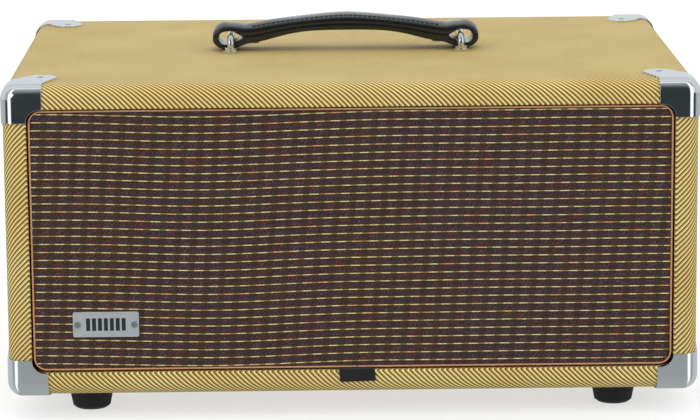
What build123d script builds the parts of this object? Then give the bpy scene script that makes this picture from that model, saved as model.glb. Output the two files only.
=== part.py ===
from build123d import *

import os
from math import acos, atan2, cos, hypot, pi, radians, sin, sqrt

# A valve guitar amplifier head in a tweed-covered cabinet with a pull-off grille cover.
# Millimetres. X to the right, Y towards the back, Z up. The origin is under the middle of the
# cabinet, on the surface that the rubber feet stand on.

os.makedirs("parts", exist_ok=True)

# ---------------------------------------------------------------- driving dimensions
body_width = 571.5
body_height = 260.0
body_depth = 410.0
foot_height = 20.0
board = 18.0  # plywood wall
covering = 0.8  # glued tweed
edge_round = 11.0  # rounding of every outer edge, over the tweed
mouth_round = 1.8  # rounding of the inner edge of the front and back mouths
turn_in = 15.0  # how far the tweed runs into the mouths
finger_count = 9  # box joint fingers along each corner

frame_thick = 12.0  # black wooden frame behind the grille cover
frame_setback = 17.0
frame_clearance = 1.7  # gap between the rack panel and the frame's opening

cover_setback = 2.9  # grille cloth behind the front edge of the cabinet
cover_thick = 10.0
cloth_thick = 0.6
cloth_return = 15.0  # cloth folded behind the cover
piping_radius = 1.0
piping_gap_side = 1.1
piping_gap_top = 0.5
piping_gap_bottom = 1.3
piping_corner = 10.0  # radius of the piping's centre line
piping_tape = 0.6
piping_tape_width = 9.0
piping_joint = 0.6  # gap where the two ends of the piping meet
tab_middle = 3.0
tab_width = 29.6
tab_drop = 10.8
tab_skew = 1.1

badge_width = 54.5
badge_height = 21.2
badge_thick = 1.2
badge_left = 54.2  # from the cabinet's left side
badge_low = 49.6  # above the cabinet's bottom
badge_screw_inset = 3.8

corner_thick = 1.5
corner_front_width = 33.0
corner_side_length = 37.0
lobe_radius = 13.0
lobe_inset = 29.5
lobe_setback = 42.0
notch_round = 11.0
lip_thick = 1.2
lip_depth = 2.2

foot_radius_top = 19.4
foot_radius_low = 15.8
foot_from_side = 65.5
foot_from_end = 46.0

strap_width = 32.0
strap_half = 116.3
strap_neck = 86.0
strap_crown = 3.4
strap_chamfer = 1.3
strap_mid_low = 18.0  # height of the grip's underside above the cabinet
strap_mid_high = 28.8
strap_neck_low = 7.2
strap_neck_high = 19.0
loop_turn = 0.56  # share of the loop's length where its end starts to close
loop_low = 1.6
loop_high = 21.0
eye_radius = 5.7
eye_outer = 105.2  # middle of the eye's outer round
eye_level = 11.7
eye_tip = 91.0  # middle of the small round at the eye's inner end
eye_tip_radius = 1.0
handle_shift = -1.6  # the handle sits a little left of the middle
staple_x = 100.2
ferrule_radius = 6.9
ferrule_gap = 0.7  # between the strap and the ferrules beside it
staple_wire = 3.0
staple_rise = 15.8
staple_bend = 5.5

rack_panel_width = 482.6
rack_panel_height = 177.0
rack_panel_thick = 3.0
rack_hole_spread = 465.1
rack_hole_height = 50.8
rack_panel_gap = 4.0  # behind the black frame
rail_steel = 2.0
rail_clearance = 5.65  # between the end of the rack panel and the web of its rail

tray_width = 430.0
tray_depth = 319.0
tray_height = 64.0
tray_steel = 1.5
tray_flange = 12.0
tray_rise = 1.5  # above the panel's lower edge
control_rise = 33.5  # above the panel's lower edge

back_thick = 10.0
back_setback = 5.0
back_batten = 18.0
vent_width = 300.0
vent_height = 85.0
vent_rise = 88.5  # above the panel's lower edge
bay_width = 380.0
bay_height = 64.0
bay_rise = 4.5  # above the panel's lower edge
slot_width = 3.6
slot_pitch = 9.5

knob_names = ("volume", "treble", "bass", "presence", "master")
knob_pitch = 60.0
knob_radius = 12.0
knob_skirt = 14.5
knob_length = 13.5
shaft_radius = 3.0
shaft_clearance = 0.05
jack_bore = 3.25
jack_depth = 30.0

# ---------------------------------------------------------------- derived places
half_width = body_width / 2
front = -body_depth / 2
back = body_depth / 2
low = foot_height
high = foot_height + body_height
middle = (low + high) / 2
room_half = half_width - covering - board
room_low = low + covering + board
room_high = high - covering - board
mouth_half = room_half - covering
mouth_low = room_low + covering
mouth_high = room_high - covering
panel_low = middle - rack_panel_height / 2
control_z = panel_low + control_rise


def block(x, y, z):
    """A box from its limits along each axis."""
    centre = ((x[0] + x[1]) / 2, (y[0] + y[1]) / 2, (z[0] + z[1]) / 2)
    return Pos(*centre) * Box(x[1] - x[0], y[1] - y[0], z[1] - z[0])


def along_y(x, z, y, radius, end_radius=None):
    """A round bar along Y, or a cone when the end at y[1] has its own radius."""
    place = Plane(origin=(x, (y[0] + y[1]) / 2, z), x_dir=(1, 0, 0), z_dir=(0, 1, 0))
    if end_radius is None:
        return place * Cylinder(radius, y[1] - y[0])
    return place * Cone(radius, end_radius, y[1] - y[0])


def upright(x, y, z, radius):
    """A round bar along Z."""
    return Pos(x, y, (z[0] + z[1]) / 2) * Cylinder(radius, z[1] - z[0])


def hex_nut(place, across, thick):
    """A hexagonal nut blank that starts on a plane and rises along its normal."""
    return extrude(place * RegularPolygon(across / 2, 6, major_radius=False), thick)


def facing(x, y, z, outward):
    """A plane whose normal points along -Y or +Y, with its x direction across the cabinet."""
    return Plane(origin=(x, y, z), x_dir=(1, 0, 0), z_dir=(0, outward, 0))


def save(node, *solids):
    """Write one node, as one solid or as a group of separate ones."""
    pieces = [piece for solid in solids for piece in solid.solids()]
    export_step(pieces[0] if len(pieces) == 1 else Compound(children=pieces), f"parts/{node}.step")


def envelope(grow):
    """The cabinet's rounded outer shape, grown or shrunk evenly."""
    shape = block(
        (-half_width - grow, half_width + grow), (front - grow, back + grow), (low - grow, high + grow)
    )
    return fillet(shape.edges(), edge_round + grow)


def mouth_edges(shape, half, bottom, top):
    """The inner edges of the front and back mouths of a tube-like cabinet shape."""
    ends = (shape.bounding_box().min.Y, shape.bounding_box().max.Y)
    found = []
    for edge in shape.edges():
        spot = edge.center()
        if min(abs(spot.Y - end) for end in ends) > 0.01:
            continue
        if abs(abs(spot.X) - half) < 0.01 or min(abs(spot.Z - bottom), abs(spot.Z - top)) < 0.01:
            found.append(edge)
    return found


# ---------------------------------------------------------------- screws
def wood_screw(place, head, length, shank, sunk=True):
    """A cross-head screw that enters along -Z of its plane, with its head flush or domed."""
    neck = head / 2
    if sunk:
        body = place * Pos(0, 0, -neck / 2) * Cone(shank, head, neck)
        rise = 0.0
    else:
        rise = neck * 0.9
        body = place * Pos(0, 0, rise / 2) * Cylinder(head, rise)
    body += place * Pos(0, 0, -length / 2) * Cylinder(shank, length)
    for turn in (0, 90):
        body -= place * Pos(0, 0, rise) * Rot(0, 0, turn) * Box(head * 1.1, head * 0.26, head * 0.6)
    return body


def screw_hole(place, head, length, shank, sunk=True):
    """The hole that a wood screw fills."""
    hole = place * Pos(0, 0, -length / 2) * Cylinder(shank, length)
    if sunk:
        hole += place * Pos(0, 0, -head / 4) * Cone(shank, head, head / 2)
    return hole


# ---------------------------------------------------------------- metal corners
def tangent_point(point, centre, radius, side):
    """Where a line from a point touches a circle, on the side given as +1 or -1."""
    away = (point[0] - centre[0], point[1] - centre[1])
    turn = atan2(away[1], away[0]) + side * acos(radius / hypot(*away))
    return centre[0] + radius * cos(turn), centre[1] + radius * sin(turn)


def flange(edge_u, edge_v, lobe_u, lobe_v):
    """A corner's flange in its own plane: square over both roundings, with a round lobe for the screw."""
    outside = -3 * corner_thick
    lobe = (lobe_u, lobe_v)
    outline = [
        (outside, outside),
        (edge_u, outside),
        (edge_u, edge_round),
        tangent_point((edge_u, edge_round), lobe, lobe_radius, 1),
        lobe,
        tangent_point((edge_round, edge_v), lobe, lobe_radius, -1),
        (edge_round, edge_v),
        (outside, edge_v),
    ]
    return make_face(Polyline(*outline, close=True)) + Pos(*lobe) * Circle(lobe_radius)


def corner_plane(axis, side, end, level):
    """A face's plane at a cabinet corner, u and v running inwards, its normal pointing outwards."""
    corner = (side * half_width, end * back, level * body_height / 2 + middle)
    if axis == "Z":
        return Plane(origin=corner, x_dir=(-side, 0, 0), z_dir=(0, 0, side * end))
    if axis == "X":
        return Plane(origin=corner, x_dir=(0, 0, -level), z_dir=(-level * end, 0, 0))
    return Plane(origin=corner, x_dir=(-side, 0, 0), z_dir=(0, -side * level, 0))


def both_ways(sketch, reach):
    """A sketch extruded to both sides of its plane."""
    return extrude(sketch, reach, both=True)


corner_shell = envelope(corner_thick) - envelope(0)
corner_reach = edge_round + corner_thick
mouth_wall = half_width - mouth_half
notch_middle = mouth_wall + notch_round
level_flange = flange(corner_front_width, corner_side_length, lobe_inset, lobe_setback)
upright_flange = flange(notch_middle, corner_side_length, lobe_inset, lobe_setback)
notch_square = Pos(notch_middle / 2, notch_middle / 2) * Rectangle(notch_middle, notch_middle)
notch_square -= Pos(notch_middle, notch_middle) * Circle(notch_round)


def metal_corner(side, end, level):
    """A corner: lobed flanges on the side and on the top or bottom, and a notched face at the end."""
    region = both_ways(corner_plane("Z", side, end, level) * level_flange, corner_reach)
    region += both_ways(corner_plane("X", side, end, level) * upright_flange, corner_reach)
    face_plane = corner_plane("Y", side, end, level)
    outer = -2 * corner_thick
    arm = corner_front_width - outer
    face = Pos(outer + arm / 2, (mouth_wall + outer) / 2) * Rectangle(arm, mouth_wall - outer)
    post = notch_middle - outer
    face += Pos((mouth_wall + outer) / 2, outer + post / 2) * Rectangle(mouth_wall - outer, post)
    region += both_ways(face_plane * (face + notch_square), corner_reach)
    corner = corner_shell & region
    # the inside corner of the mouth is bridged, and its edge is rolled back into the mouth
    window = Pos(mouth_wall + notch_round / 2, mouth_wall + notch_round / 2)
    window = window * Rectangle(notch_round, notch_round)
    bridge = window - Pos(notch_middle, notch_middle) * Circle(notch_round)
    lip = bridge & Pos(notch_middle, notch_middle) * Circle(notch_round + lip_thick)
    outward = end / face_plane.z_dir.Y
    corner += extrude(face_plane * bridge, outward * corner_thick)
    corner += extrude(face_plane * lip, -outward * lip_depth)
    return corner


def corner_screw_planes():
    """Planes on the outside of the corner plates, one for each screw."""
    planes = []
    for side in (-1, 1):
        for level in (-1, 1):
            for end in (-1, 1):
                depth = end * (back - lobe_setback)
                inset = side * (half_width - lobe_inset)
                face = middle + level * (body_height / 2 + corner_thick)
                planes.append(Plane(origin=(inset, depth, face), z_dir=(0, 0, level)))
                outer = side * (half_width + corner_thick)
                height = middle + level * (body_height / 2 - lobe_inset)
                planes.append(Plane(origin=(outer, depth, height), z_dir=(side, 0, 0)))
    return planes


corner_screw_size = {"head": 3.3, "length": 15.0, "shank": 1.6}
corner_screws = [wood_screw(place, **corner_screw_size) for place in corner_screw_planes()]
corner_holes = Compound([screw_hole(place, **corner_screw_size) for place in corner_screw_planes()])

for node, end in (("front_corners", -1), ("rear_corners", 1)):
    save(node, *[metal_corner(s, end, t) - corner_holes for s in (-1, 1) for t in (-1, 1)])
save("corner_screws", *corner_screws)

# ---------------------------------------------------------------- feet
foot_spots = [
    (side * (half_width - foot_from_side), end * (back - foot_from_end))
    for side in (-1, 1)
    for end in (-1, 1)
]
foot_cup_radius = 7.0
foot_cup_depth = 9.0
foot_outline = [
    (foot_cup_radius, 0),
    (foot_radius_low - 2.5, 0),
    (foot_radius_low, 2.0),
    (foot_radius_top, foot_height),
    (2.4, foot_height),
    (2.4, foot_cup_depth),
    (foot_cup_radius, foot_cup_depth),
]
foot = revolve(Plane.XZ * make_face(Polyline(*foot_outline, close=True)), Axis.Z)
foot_screw_size = {"head": 5.0, "length": 26.0, "shank": 2.4, "sunk": False}
foot_planes = [Plane(origin=(x, y, foot_cup_depth), z_dir=(0, 0, -1)) for x, y in foot_spots]
foot_holes = Compound([screw_hole(place, **foot_screw_size) for place in foot_planes])
save("rubber_feet", *[Pos(x, y, 0) * foot for x, y in foot_spots])
save("foot_screws", *[wood_screw(place, **foot_screw_size) for place in foot_planes])

# ---------------------------------------------------------------- handle staples
bar_height = high + staple_rise - staple_wire
staple_y = strap_width / 2 + ferrule_gap + ferrule_radius
stud_low = room_high - 8.0
ferrule_rise = 4.6
nut_thick = 5.0


def staple(x):
    """A bent wire staple: two threaded legs through the top board and a bar across the eye."""
    path = FilletPolyline(
        (x, -staple_y, stud_low),
        (x, -staple_y, bar_height),
        (x, staple_y, bar_height),
        (x, staple_y, stud_low),
        radius=staple_bend,
    )
    return sweep(Plane(origin=(x, -staple_y, stud_low)) * Circle(staple_wire), path=path)


def ferrule(x, y):
    """A stepped collar round one leg of a staple."""
    steps = upright(x, y, (high, high + ferrule_rise * 0.55), ferrule_radius)
    steps += upright(x, y, (high, high + ferrule_rise), ferrule_radius * 0.75)
    return steps - upright(x, y, (high, high + ferrule_rise), staple_wire)


def staple_nut(x, y):
    """A nut and its washer under the top board."""
    washer = upright(x, y, (room_high - 1.2, room_high), 7.0)
    nut = hex_nut(Plane(origin=(x, y, room_high - 1.2 - nut_thick)), 10.0, nut_thick)
    return washer + nut - upright(x, y, (room_high - 9.0, room_high), staple_wire)


staple_spots = [handle_shift + side * staple_x for side in (-1, 1)]
staple_legs = [(x, t * staple_y) for x in staple_spots for t in (-1, 1)]
leg_holes = Compound([upright(x, y, (room_high, high), staple_wire) for x, y in staple_legs])
save("handle_staples", *[staple(x) for x in staple_spots])
save("staple_ferrules", *[ferrule(x, y) for x, y in staple_legs])
save("staple_nuts", *[staple_nut(x, y) for x, y in staple_legs])


# ---------------------------------------------------------------- handle strap
def strap_heights(x):
    """Underside, side edge and crown of the strap above the cabinet, at a distance from its middle."""
    share = min(1.0, abs(x) / strap_neck)
    under = strap_neck_low + (strap_mid_low - strap_neck_low) * (1 + cos(pi * share**1.8)) / 2
    edge = strap_neck_high + (strap_mid_high - strap_neck_high) * (1 - share**1.6)
    past = (abs(x) - strap_neck) / (strap_half - strap_neck)
    if past > 0:
        level = (loop_low + loop_high) / 2
        swell = sin(pi / 2 * min(1.0, past / loop_turn))
        under = strap_neck_low + (loop_low - strap_neck_low) * swell
        edge = strap_neck_high + (loop_high - strap_neck_high) * swell
        tip = max(0.0, (past - loop_turn) / (1 - loop_turn))
        closing = sqrt(max(0.0, 1 - tip * tip))
        under = level + (under - level) * closing
        edge = level + (edge - level) * closing
    crown = strap_crown * min(1.0, (edge - under) / (strap_mid_high - strap_mid_low))
    return high + under, high + edge, high + edge + crown


def strap_section(x):
    """The strap's cross-section: flat underneath, chamfered, and domed on top."""
    under, edge, crown = strap_heights(x)
    half = strap_width / 2
    cut = min(strap_chamfer, (edge - under) / 4)
    place = Plane(origin=(x, 0, 0), x_dir=(0, 1, 0), z_dir=(1, 0, 0))
    below = Polyline(
        (-half + cut, edge + cut * 0.6),
        (-half, edge - cut),
        (-half, under + cut),
        (-half + cut, under),
        (half - cut, under),
        (half, under + cut),
        (half, edge - cut),
        (half - cut, edge + cut * 0.6),
    )
    dome = ThreePointArc((half - cut, edge + cut * 0.6), (0, crown), (-half + cut, edge + cut * 0.6))
    return place * make_face([*below.edges(), dome.edge()])


grip_stations = [strap_neck * share for share in (0, 0.19, 0.37, 0.54, 0.68, 0.81, 0.93)]
loop_span = strap_half - strap_neck
loop_stations = [strap_neck + loop_span * share for share in (0.12, 0.38, 0.56, 0.72, 0.84, 0.93, 0.99)]
half_stations = grip_stations + loop_stations
stations = [-x for x in reversed(half_stations[1:])] + half_stations
strap = loft([strap_section(x) for x in stations])


def eye_cut(side):
    """The teardrop eye that the staple's bar passes through."""
    rounds = [
        Pos(side * eye_outer, high + eye_level) * Circle(eye_radius),
        Pos(side * (staple_x + 0.4), high + eye_level + 0.5) * Circle(eye_radius),
        Pos(side * eye_tip, high + eye_level + 0.8) * Circle(eye_tip_radius),
    ]
    teardrop = make_hull([edge for shape in rounds for edge in shape.edges()])
    return extrude(Plane.XZ * teardrop, strap_width, both=True)


def spring_band(thick, reach):
    """The spring steel strip that follows the middle of the grip."""
    def level(x):
        return sum(strap_heights(x)[:2]) / 2

    spots = [reach * k / 4 for k in range(-4, 5)]
    lower = Spline(*[(x, level(x) - thick / 2) for x in spots])
    upper = Spline(*[(x, level(x) + thick / 2) for x in reversed(spots)])
    ends = [Line(lower @ 1, upper @ 0), Line(upper @ 1, lower @ 0)]
    return extrude(Plane.XZ * make_face([lower, ends[0], upper, ends[1]]), 10.0, both=True)


rivet_x = 80.0


def handle_rivet(side):
    """A tubular rivet with a domed head that closes the strap's fold at its neck."""
    under = strap_heights(rivet_x)[0]
    head = Pos(side * rivet_x, 0, under) * Sphere(4.6)
    head &= block((-200, 200), (-10, 10), (under - 2.0, under + 0.6))
    return head + upright(side * rivet_x, 0, (under, under + 9.0), 2.0)


spring = spring_band(0.8, 76.0)
rivets = [handle_rivet(side) for side in (-1, 1)]
strap = strap - eye_cut(-1) - eye_cut(1) - spring
save("handle_spring", Pos(handle_shift, 0, 0) * spring)
save("handle_rivets", *[Pos(handle_shift, 0, 0) * rivet for rivet in rivets])
save("handle_strap", Pos(handle_shift, 0, 0) * (strap - Compound(rivets)))

# ---------------------------------------------------------------- cabinet boards
room = block((-room_half, room_half), (front - 5, back + 5), (room_low, room_high))
tube = envelope(-covering) - room
tube = fillet(mouth_edges(tube, room_half, room_low, room_high), mouth_round - covering)
finger_pitch = (body_depth - 2 * covering) / finger_count


def corner_fingers(side, level):
    """The side board's fingers in one corner of the cabinet: every second one."""
    x = sorted((side * room_half, side * half_width))
    z = (room_high, high) if level > 0 else (low, room_low)
    start = front + covering
    return [
        block(x, (start + k * finger_pitch, start + (k + 1) * finger_pitch), z)
        for k in range(1, finger_count, 2)
    ]


def flat_board(level):
    """The top or bottom board, notched at both ends for the side boards' fingers."""
    z = (room_high, high) if level > 0 else (low, room_low)
    slab = block((-half_width, half_width), (front, back), z)
    for side in (-1, 1):
        for finger in corner_fingers(side, level):
            slab -= finger
    return (tube & slab) - corner_holes


def side_board(side):
    """A side board with its fingers."""
    x = sorted((side * room_half, side * half_width))
    slab = block(x, (front, back), (room_low, room_high))
    for level in (-1, 1):
        for finger in corner_fingers(side, level):
            slab += finger
    return (tube & slab) - corner_holes


save("top_board", flat_board(1) - leg_holes)
save("bottom_board", flat_board(-1) - foot_holes)
save("left_board", side_board(-1))
save("right_board", side_board(1))

mouth = block((-mouth_half, mouth_half), (front - 5, back + 5), (mouth_low, mouth_high))
covered = envelope(0) - mouth
covered = fillet(mouth_edges(covered, mouth_half, mouth_low, mouth_high), mouth_round)
bare_room = block((-room_half, room_half), (front + turn_in, back - turn_in), (room_low, room_high))
skin = covered - tube - bare_room - corner_holes - leg_holes - foot_holes
save("tweed_covering", skin)

# ---------------------------------------------------------------- black frame and battens
frame_front = front + frame_setback
frame_back = frame_front + frame_thick
opening_half = rack_panel_width / 2 + frame_clearance
opening_z = (panel_low - frame_clearance, panel_low + rack_panel_height + frame_clearance)
front_frame = block((-room_half, room_half), (frame_front, frame_back), (room_low, room_high))
front_frame -= block((-opening_half, opening_half), (frame_front, frame_back), opening_z)
save("front_frame", front_frame)

panel_front = frame_back + rack_panel_gap
panel_back = panel_front + rack_panel_thick
rail_inner = rack_panel_width / 2 + rail_clearance  # inner side of the front battens
batten_back = panel_back + 32.0
back_face = back - back_setback
back_inner = back_face - back_thick
cleat_x = (140.0, 200.0)
tray_bottom = panel_low + tray_rise
tray_front = panel_back
tray_rear = tray_front + tray_depth

back_screw_size = {"head": 3.6, "length": 16.0, "shank": 1.7, "sunk": False}
back_screw_spots = [
    (side * (room_half - back_batten / 2), room_low + 18.0 + k * (room_high - room_low - 36.0) / 3)
    for side in (-1, 1)
    for k in range(4)
]
back_planes = [Plane(origin=(x, back_face, z), z_dir=(0, 1, 0)) for x, z in back_screw_spots]
back_holes = Compound([screw_hole(place, **back_screw_size) for place in back_planes])

rail_screw_size = {"head": 3.6, "length": 15.0, "shank": 1.7, "sunk": False}
rail_screw_spots = [(side, middle + k * 65.0) for side in (-1, 1) for k in (-1, 0, 1)]
rail_screw_planes = [
    Plane(origin=(side * (rail_inner - rail_steel), panel_back + 20.0, z), z_dir=(-side, 0, 0))
    for side, z in rail_screw_spots
]
rail_holes = Compound([screw_hole(place, **rail_screw_size) for place in rail_screw_planes])


def battens():
    """Wooden battens: at the front for the rack rails, at the back for the panel, and two cleats."""
    pieces = []
    for side in (-1, 1):
        front_x = sorted((side * rail_inner, side * room_half))
        pieces.append(block(front_x, (frame_back, batten_back), (room_low, room_high)) - rail_holes)
        rear_x = sorted((side * (room_half - back_batten), side * room_half))
        rear_y = (back_inner - back_batten, back_inner)
        pieces.append(block(rear_x, rear_y, (room_low, room_high)) - back_holes)
        cleat = sorted((side * cleat_x[0], side * cleat_x[1]))
        pieces.append(block(cleat, (tray_rear - 30.0, tray_rear), (room_low, tray_bottom)))
    return pieces


save("rail_battens", *battens())

# ---------------------------------------------------------------- back panel
panel_clearance = 0.15
back_panel = block(
    (-mouth_half + panel_clearance, mouth_half - panel_clearance),
    (back_inner, back_face),
    (mouth_low + panel_clearance, mouth_high - panel_clearance),
)


def window(width, height, rise, y):
    """A rounded window through the back panel."""
    sketch = RectangleRounded(width, height, 8.0)
    return extrude(facing(0, y, panel_low + rise + height / 2, 1) * sketch, 2 * back_thick, both=True)


def slots(count, height, width, y, levels):
    """Rows of upright ventilation slots with round ends."""
    shape = SlotOverall(height, width, rotation=90)
    tools = []
    for k in range(count):
        x = (k - (count - 1) / 2) * slot_pitch
        for z in levels:
            tools += extrude(facing(x, y, z, 1) * shape, 5.0, both=True).solids()
    return Compound(tools)


guard_thick = 1.2
guard_lap = 11.0
guard_middle = panel_low + vent_rise + vent_height / 2
guard_screw_spots = [
    (s * (vent_width / 2 + guard_lap / 2), guard_middle + t * (vent_height / 2 + guard_lap / 2))
    for s in (-1, 1)
    for t in (-1, 1)
]
guard_screw_size = {"head": 3.6, "length": 9.0, "shank": 1.7, "sunk": False}
guard_outer = back_face + guard_thick
guard_planes = [Plane(origin=(x, guard_outer, z), z_dir=(0, 1, 0)) for x, z in guard_screw_spots]
guard_holes = Compound([screw_hole(place, **guard_screw_size) for place in guard_planes])
guard = block(
    (-vent_width / 2 - guard_lap, vent_width / 2 + guard_lap),
    (back_face, guard_outer),
    (guard_middle - vent_height / 2 - guard_lap, guard_middle + vent_height / 2 + guard_lap),
)
row_height = vent_height / 2 - 6.0
guard_rows = [guard_middle + t * (row_height / 2 + 3.0) for t in (-1, 1)]
guard -= slots(int(vent_width / slot_pitch) - 1, row_height, slot_width, back_face, guard_rows)

back_panel -= window(vent_width, vent_height, vent_rise, back_face)
back_panel -= window(bay_width, bay_height, bay_rise, back_face)
save("back_panel", back_panel - back_holes - guard_holes)
save("vent_guard", guard - guard_holes)
back_screws = [wood_screw(place, **back_screw_size) for place in back_planes]
back_screws += [wood_screw(place, **guard_screw_size) for place in guard_planes]
save("back_panel_screws", *back_screws)

# ---------------------------------------------------------------- grille cover
cloth_front = front + cover_setback
cover_front = cloth_front + cloth_thick
cover_back = cover_front + cover_thick
welt_half = mouth_half - piping_gap_side - piping_radius
welt_low = mouth_low + piping_gap_bottom + piping_radius
welt_high = mouth_high - piping_gap_top - piping_radius
welt_middle = (welt_low + welt_high) / 2


def cover_outline(inset):
    """A rounded rectangle, measured inwards from the piping's centre line."""
    return RectangleRounded(
        2 * (welt_half - inset), welt_high - welt_low - 2 * inset, piping_corner - inset
    )


def cover_slab(inset, y):
    """A slab of the grille cover between two depths."""
    return extrude(facing(0, y[0], welt_middle, 1) * cover_outline(inset), y[1] - y[0])


cloth_edge = piping_radius
wood_edge = piping_radius + cloth_thick
badge_x = -half_width + badge_left
badge_z = low + badge_low
badge_middle = (badge_x + badge_width / 2, badge_z + badge_height / 2)
badge_screw_size = {"head": 2.6, "length": 8.0, "shank": 1.1, "sunk": False}
badge_front = cloth_front - badge_thick
badge_spread = badge_width / 2 - badge_screw_inset
badge_planes = [
    Plane(origin=(badge_middle[0] + s * badge_spread, badge_front, badge_middle[1]), z_dir=(0, -1, 0))
    for s in (-1, 1)
]
badge_holes = Compound([screw_hole(place, **badge_screw_size) for place in badge_planes])

grille_panel = cover_slab(wood_edge, (cover_front, cover_back)) - badge_holes
cloth = cover_slab(cloth_edge, (cloth_front, cover_back + cloth_thick))
cloth -= cover_slab(wood_edge, (cover_front, cover_back))
fold_half = welt_half - cloth_edge - cloth_return
fold_z = (welt_low + cloth_edge + cloth_return, welt_high - cloth_edge - cloth_return)
cloth -= block((-fold_half, fold_half), (cover_back - 1, cover_back + 1), fold_z)
save("grille_panel", grille_panel)
save("grille_cloth", cloth - badge_holes)

badge_plane = facing(badge_middle[0], cloth_front, badge_middle[1], -1)
badge = extrude(badge_plane * RectangleRounded(badge_width, badge_height, 1.6), badge_thick)
groove_outer = RectangleRounded(badge_width - 3.0, badge_height - 3.0, 1.0)
groove_inner = RectangleRounded(badge_width - 4.4, badge_height - 4.4, 0.7)
groove_plane = facing(badge_middle[0], badge_front, badge_middle[1], 1)
badge -= extrude(groove_plane * (groove_outer - groove_inner), 0.25)
save("badge_plate", badge - badge_holes)
save("badge_screws", *[wood_screw(place, **badge_screw_size) for place in badge_planes])

# piping: a covered cord round the edge of the cover, with a tape stapled to the cover's edge
welt_plane = facing(0, cloth_front, welt_middle, 1)
cord_path = (welt_plane * cover_outline(0)).wire()
start = cord_path @ 0
heading = cord_path % 0
cord = sweep(Plane(origin=start, z_dir=heading) * Circle(piping_radius), path=cord_path)
tape_y = (cloth_front, cloth_front + piping_tape_width)
tape = cover_slab(piping_radius - piping_tape, tape_y) - cover_slab(cloth_edge, tape_y)
piping = cord + tape
joint_x = (tab_middle - piping_joint / 2, tab_middle + piping_joint / 2)
piping -= block(joint_x, (front - 5, cover_back), (welt_low - 3, welt_low + 3))
save("grille_piping", piping)

# pull tab: a strip under the cover that comes out below the piping, and the flap that hangs from it
strip_thick = 0.8
strip_low = mouth_low + 0.25
strip_high = welt_low + piping_radius - piping_tape
strip_outline = [
    (front + 0.2, strip_low),
    (cloth_front + 1.3, strip_low),
    (cloth_front + 3.1, strip_high - strip_thick),
    (cover_back - 1.0, strip_high - strip_thick),
    (cover_back - 1.0, strip_high),
    (cloth_front + 2.7, strip_high),
    (cloth_front + 0.9, strip_low + strip_thick),
    (front + 0.2, strip_low + strip_thick),
]
strip_plane = Plane(origin=(tab_middle, 0, 0), x_dir=(0, 1, 0), z_dir=(1, 0, 0))
strip = extrude(strip_plane * make_face(Polyline(*strip_outline, close=True)), tab_width / 2, both=True)
save("tab_root", strip)

flap_back = front - 0.35
flap_front = front - 1.3
flap_top = strip_low + 0.6
flap_outline = [
    (tab_middle - tab_width / 2, flap_top),
    (tab_middle + tab_width / 2, flap_top),
    (tab_middle + tab_width / 2 + tab_skew, flap_top - tab_drop + 0.7),
    (tab_middle - tab_width / 2 + tab_skew, flap_top - tab_drop),
]
flap_plane = Plane(origin=(0, flap_back, 0), x_dir=(1, 0, 0), z_dir=(0, -1, 0))
flap = make_face(Polyline(*flap_outline, close=True))
save("pull_tab", extrude(flap_plane * flap, flap_back - flap_front))

# hook and loop pads between the cover and the black frame
pad_width = 14.0
pad_length = 40.0
pad_split = (cover_back + cloth_thick + frame_front) / 2
pad_x = welt_half - cloth_edge - 1.0 - pad_width / 2


def pads(y):
    """Three pads down each side, between two depths."""
    return [
        block(
            (s * pad_x - pad_width / 2, s * pad_x + pad_width / 2), y,
            (welt_middle + k * 75.0 - pad_length / 2, welt_middle + k * 75.0 + pad_length / 2),
        )
        for s in (-1, 1)
        for k in (-1, 0, 1)
    ]


save("hook_pads", *pads((cover_back + cloth_thick, pad_split)))
save("loop_pads", *pads((pad_split, frame_front)))

# ---------------------------------------------------------------- rack rails and front panel
rack_holes = [(s * rack_hole_spread / 2, middle + t * rack_hole_height) for s in (-1, 1) for t in (-1, 1)]
rack_screw = 2.9
rail_flange = 24.0


def rack_rail(side):
    """An angle of steel: a flange for the rack screws and a web screwed to its batten."""
    flange_x = sorted((side * (rail_inner - rail_flange), side * rail_inner))
    web_x = sorted((side * (rail_inner - rail_steel), side * rail_inner))
    rail = block(flange_x, (panel_back, panel_back + rail_steel), opening_z)
    rail += block(web_x, (panel_back, batten_back - 2.0), opening_z)
    for x, z in rack_holes:
        rail -= along_y(x, z, (panel_back - 1, panel_back + 3), rack_screw)
    return rail - rail_holes


def rack_bolt(x, z):
    """A panel screw with a domed cross head and a cup washer."""
    head = along_y(x, z, (panel_front - 1.2, panel_front), 7.0)
    head += along_y(x, z, (panel_front - 3.6, panel_front - 1.2), 4.2, 5.2)
    head += along_y(x, z, (panel_front - 1, panel_back + 9.0), rack_screw)
    for turn in (0, 90):
        head -= facing(x, panel_front - 3.6, z, 1) * Rot(0, 0, turn) * Box(5.0, 1.2, 3.0)
    return head


save("rack_rails", rack_rail(-1), rack_rail(1))
save("rail_screws", *[wood_screw(place, **rail_screw_size) for place in rail_screw_planes])
save("rack_screws", *[rack_bolt(x, z) for x, z in rack_holes])

knob_x = [(k - (len(knob_names) - 1) / 2) * knob_pitch for k in range(len(knob_names))]
input_x = (-195.0, -165.0)
lamp_x = 162.0
toggle_x = (182.0, 203.0)
speaker_x = (-60.0, -100.0)
fuse_x = 108.0
inlet_x = 158.0
bush_radius = 4.75
toggle_bush = 6.0
jack_bush = 5.5
lamp_bush = 6.5
fuse_bush = 7.5

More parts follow.
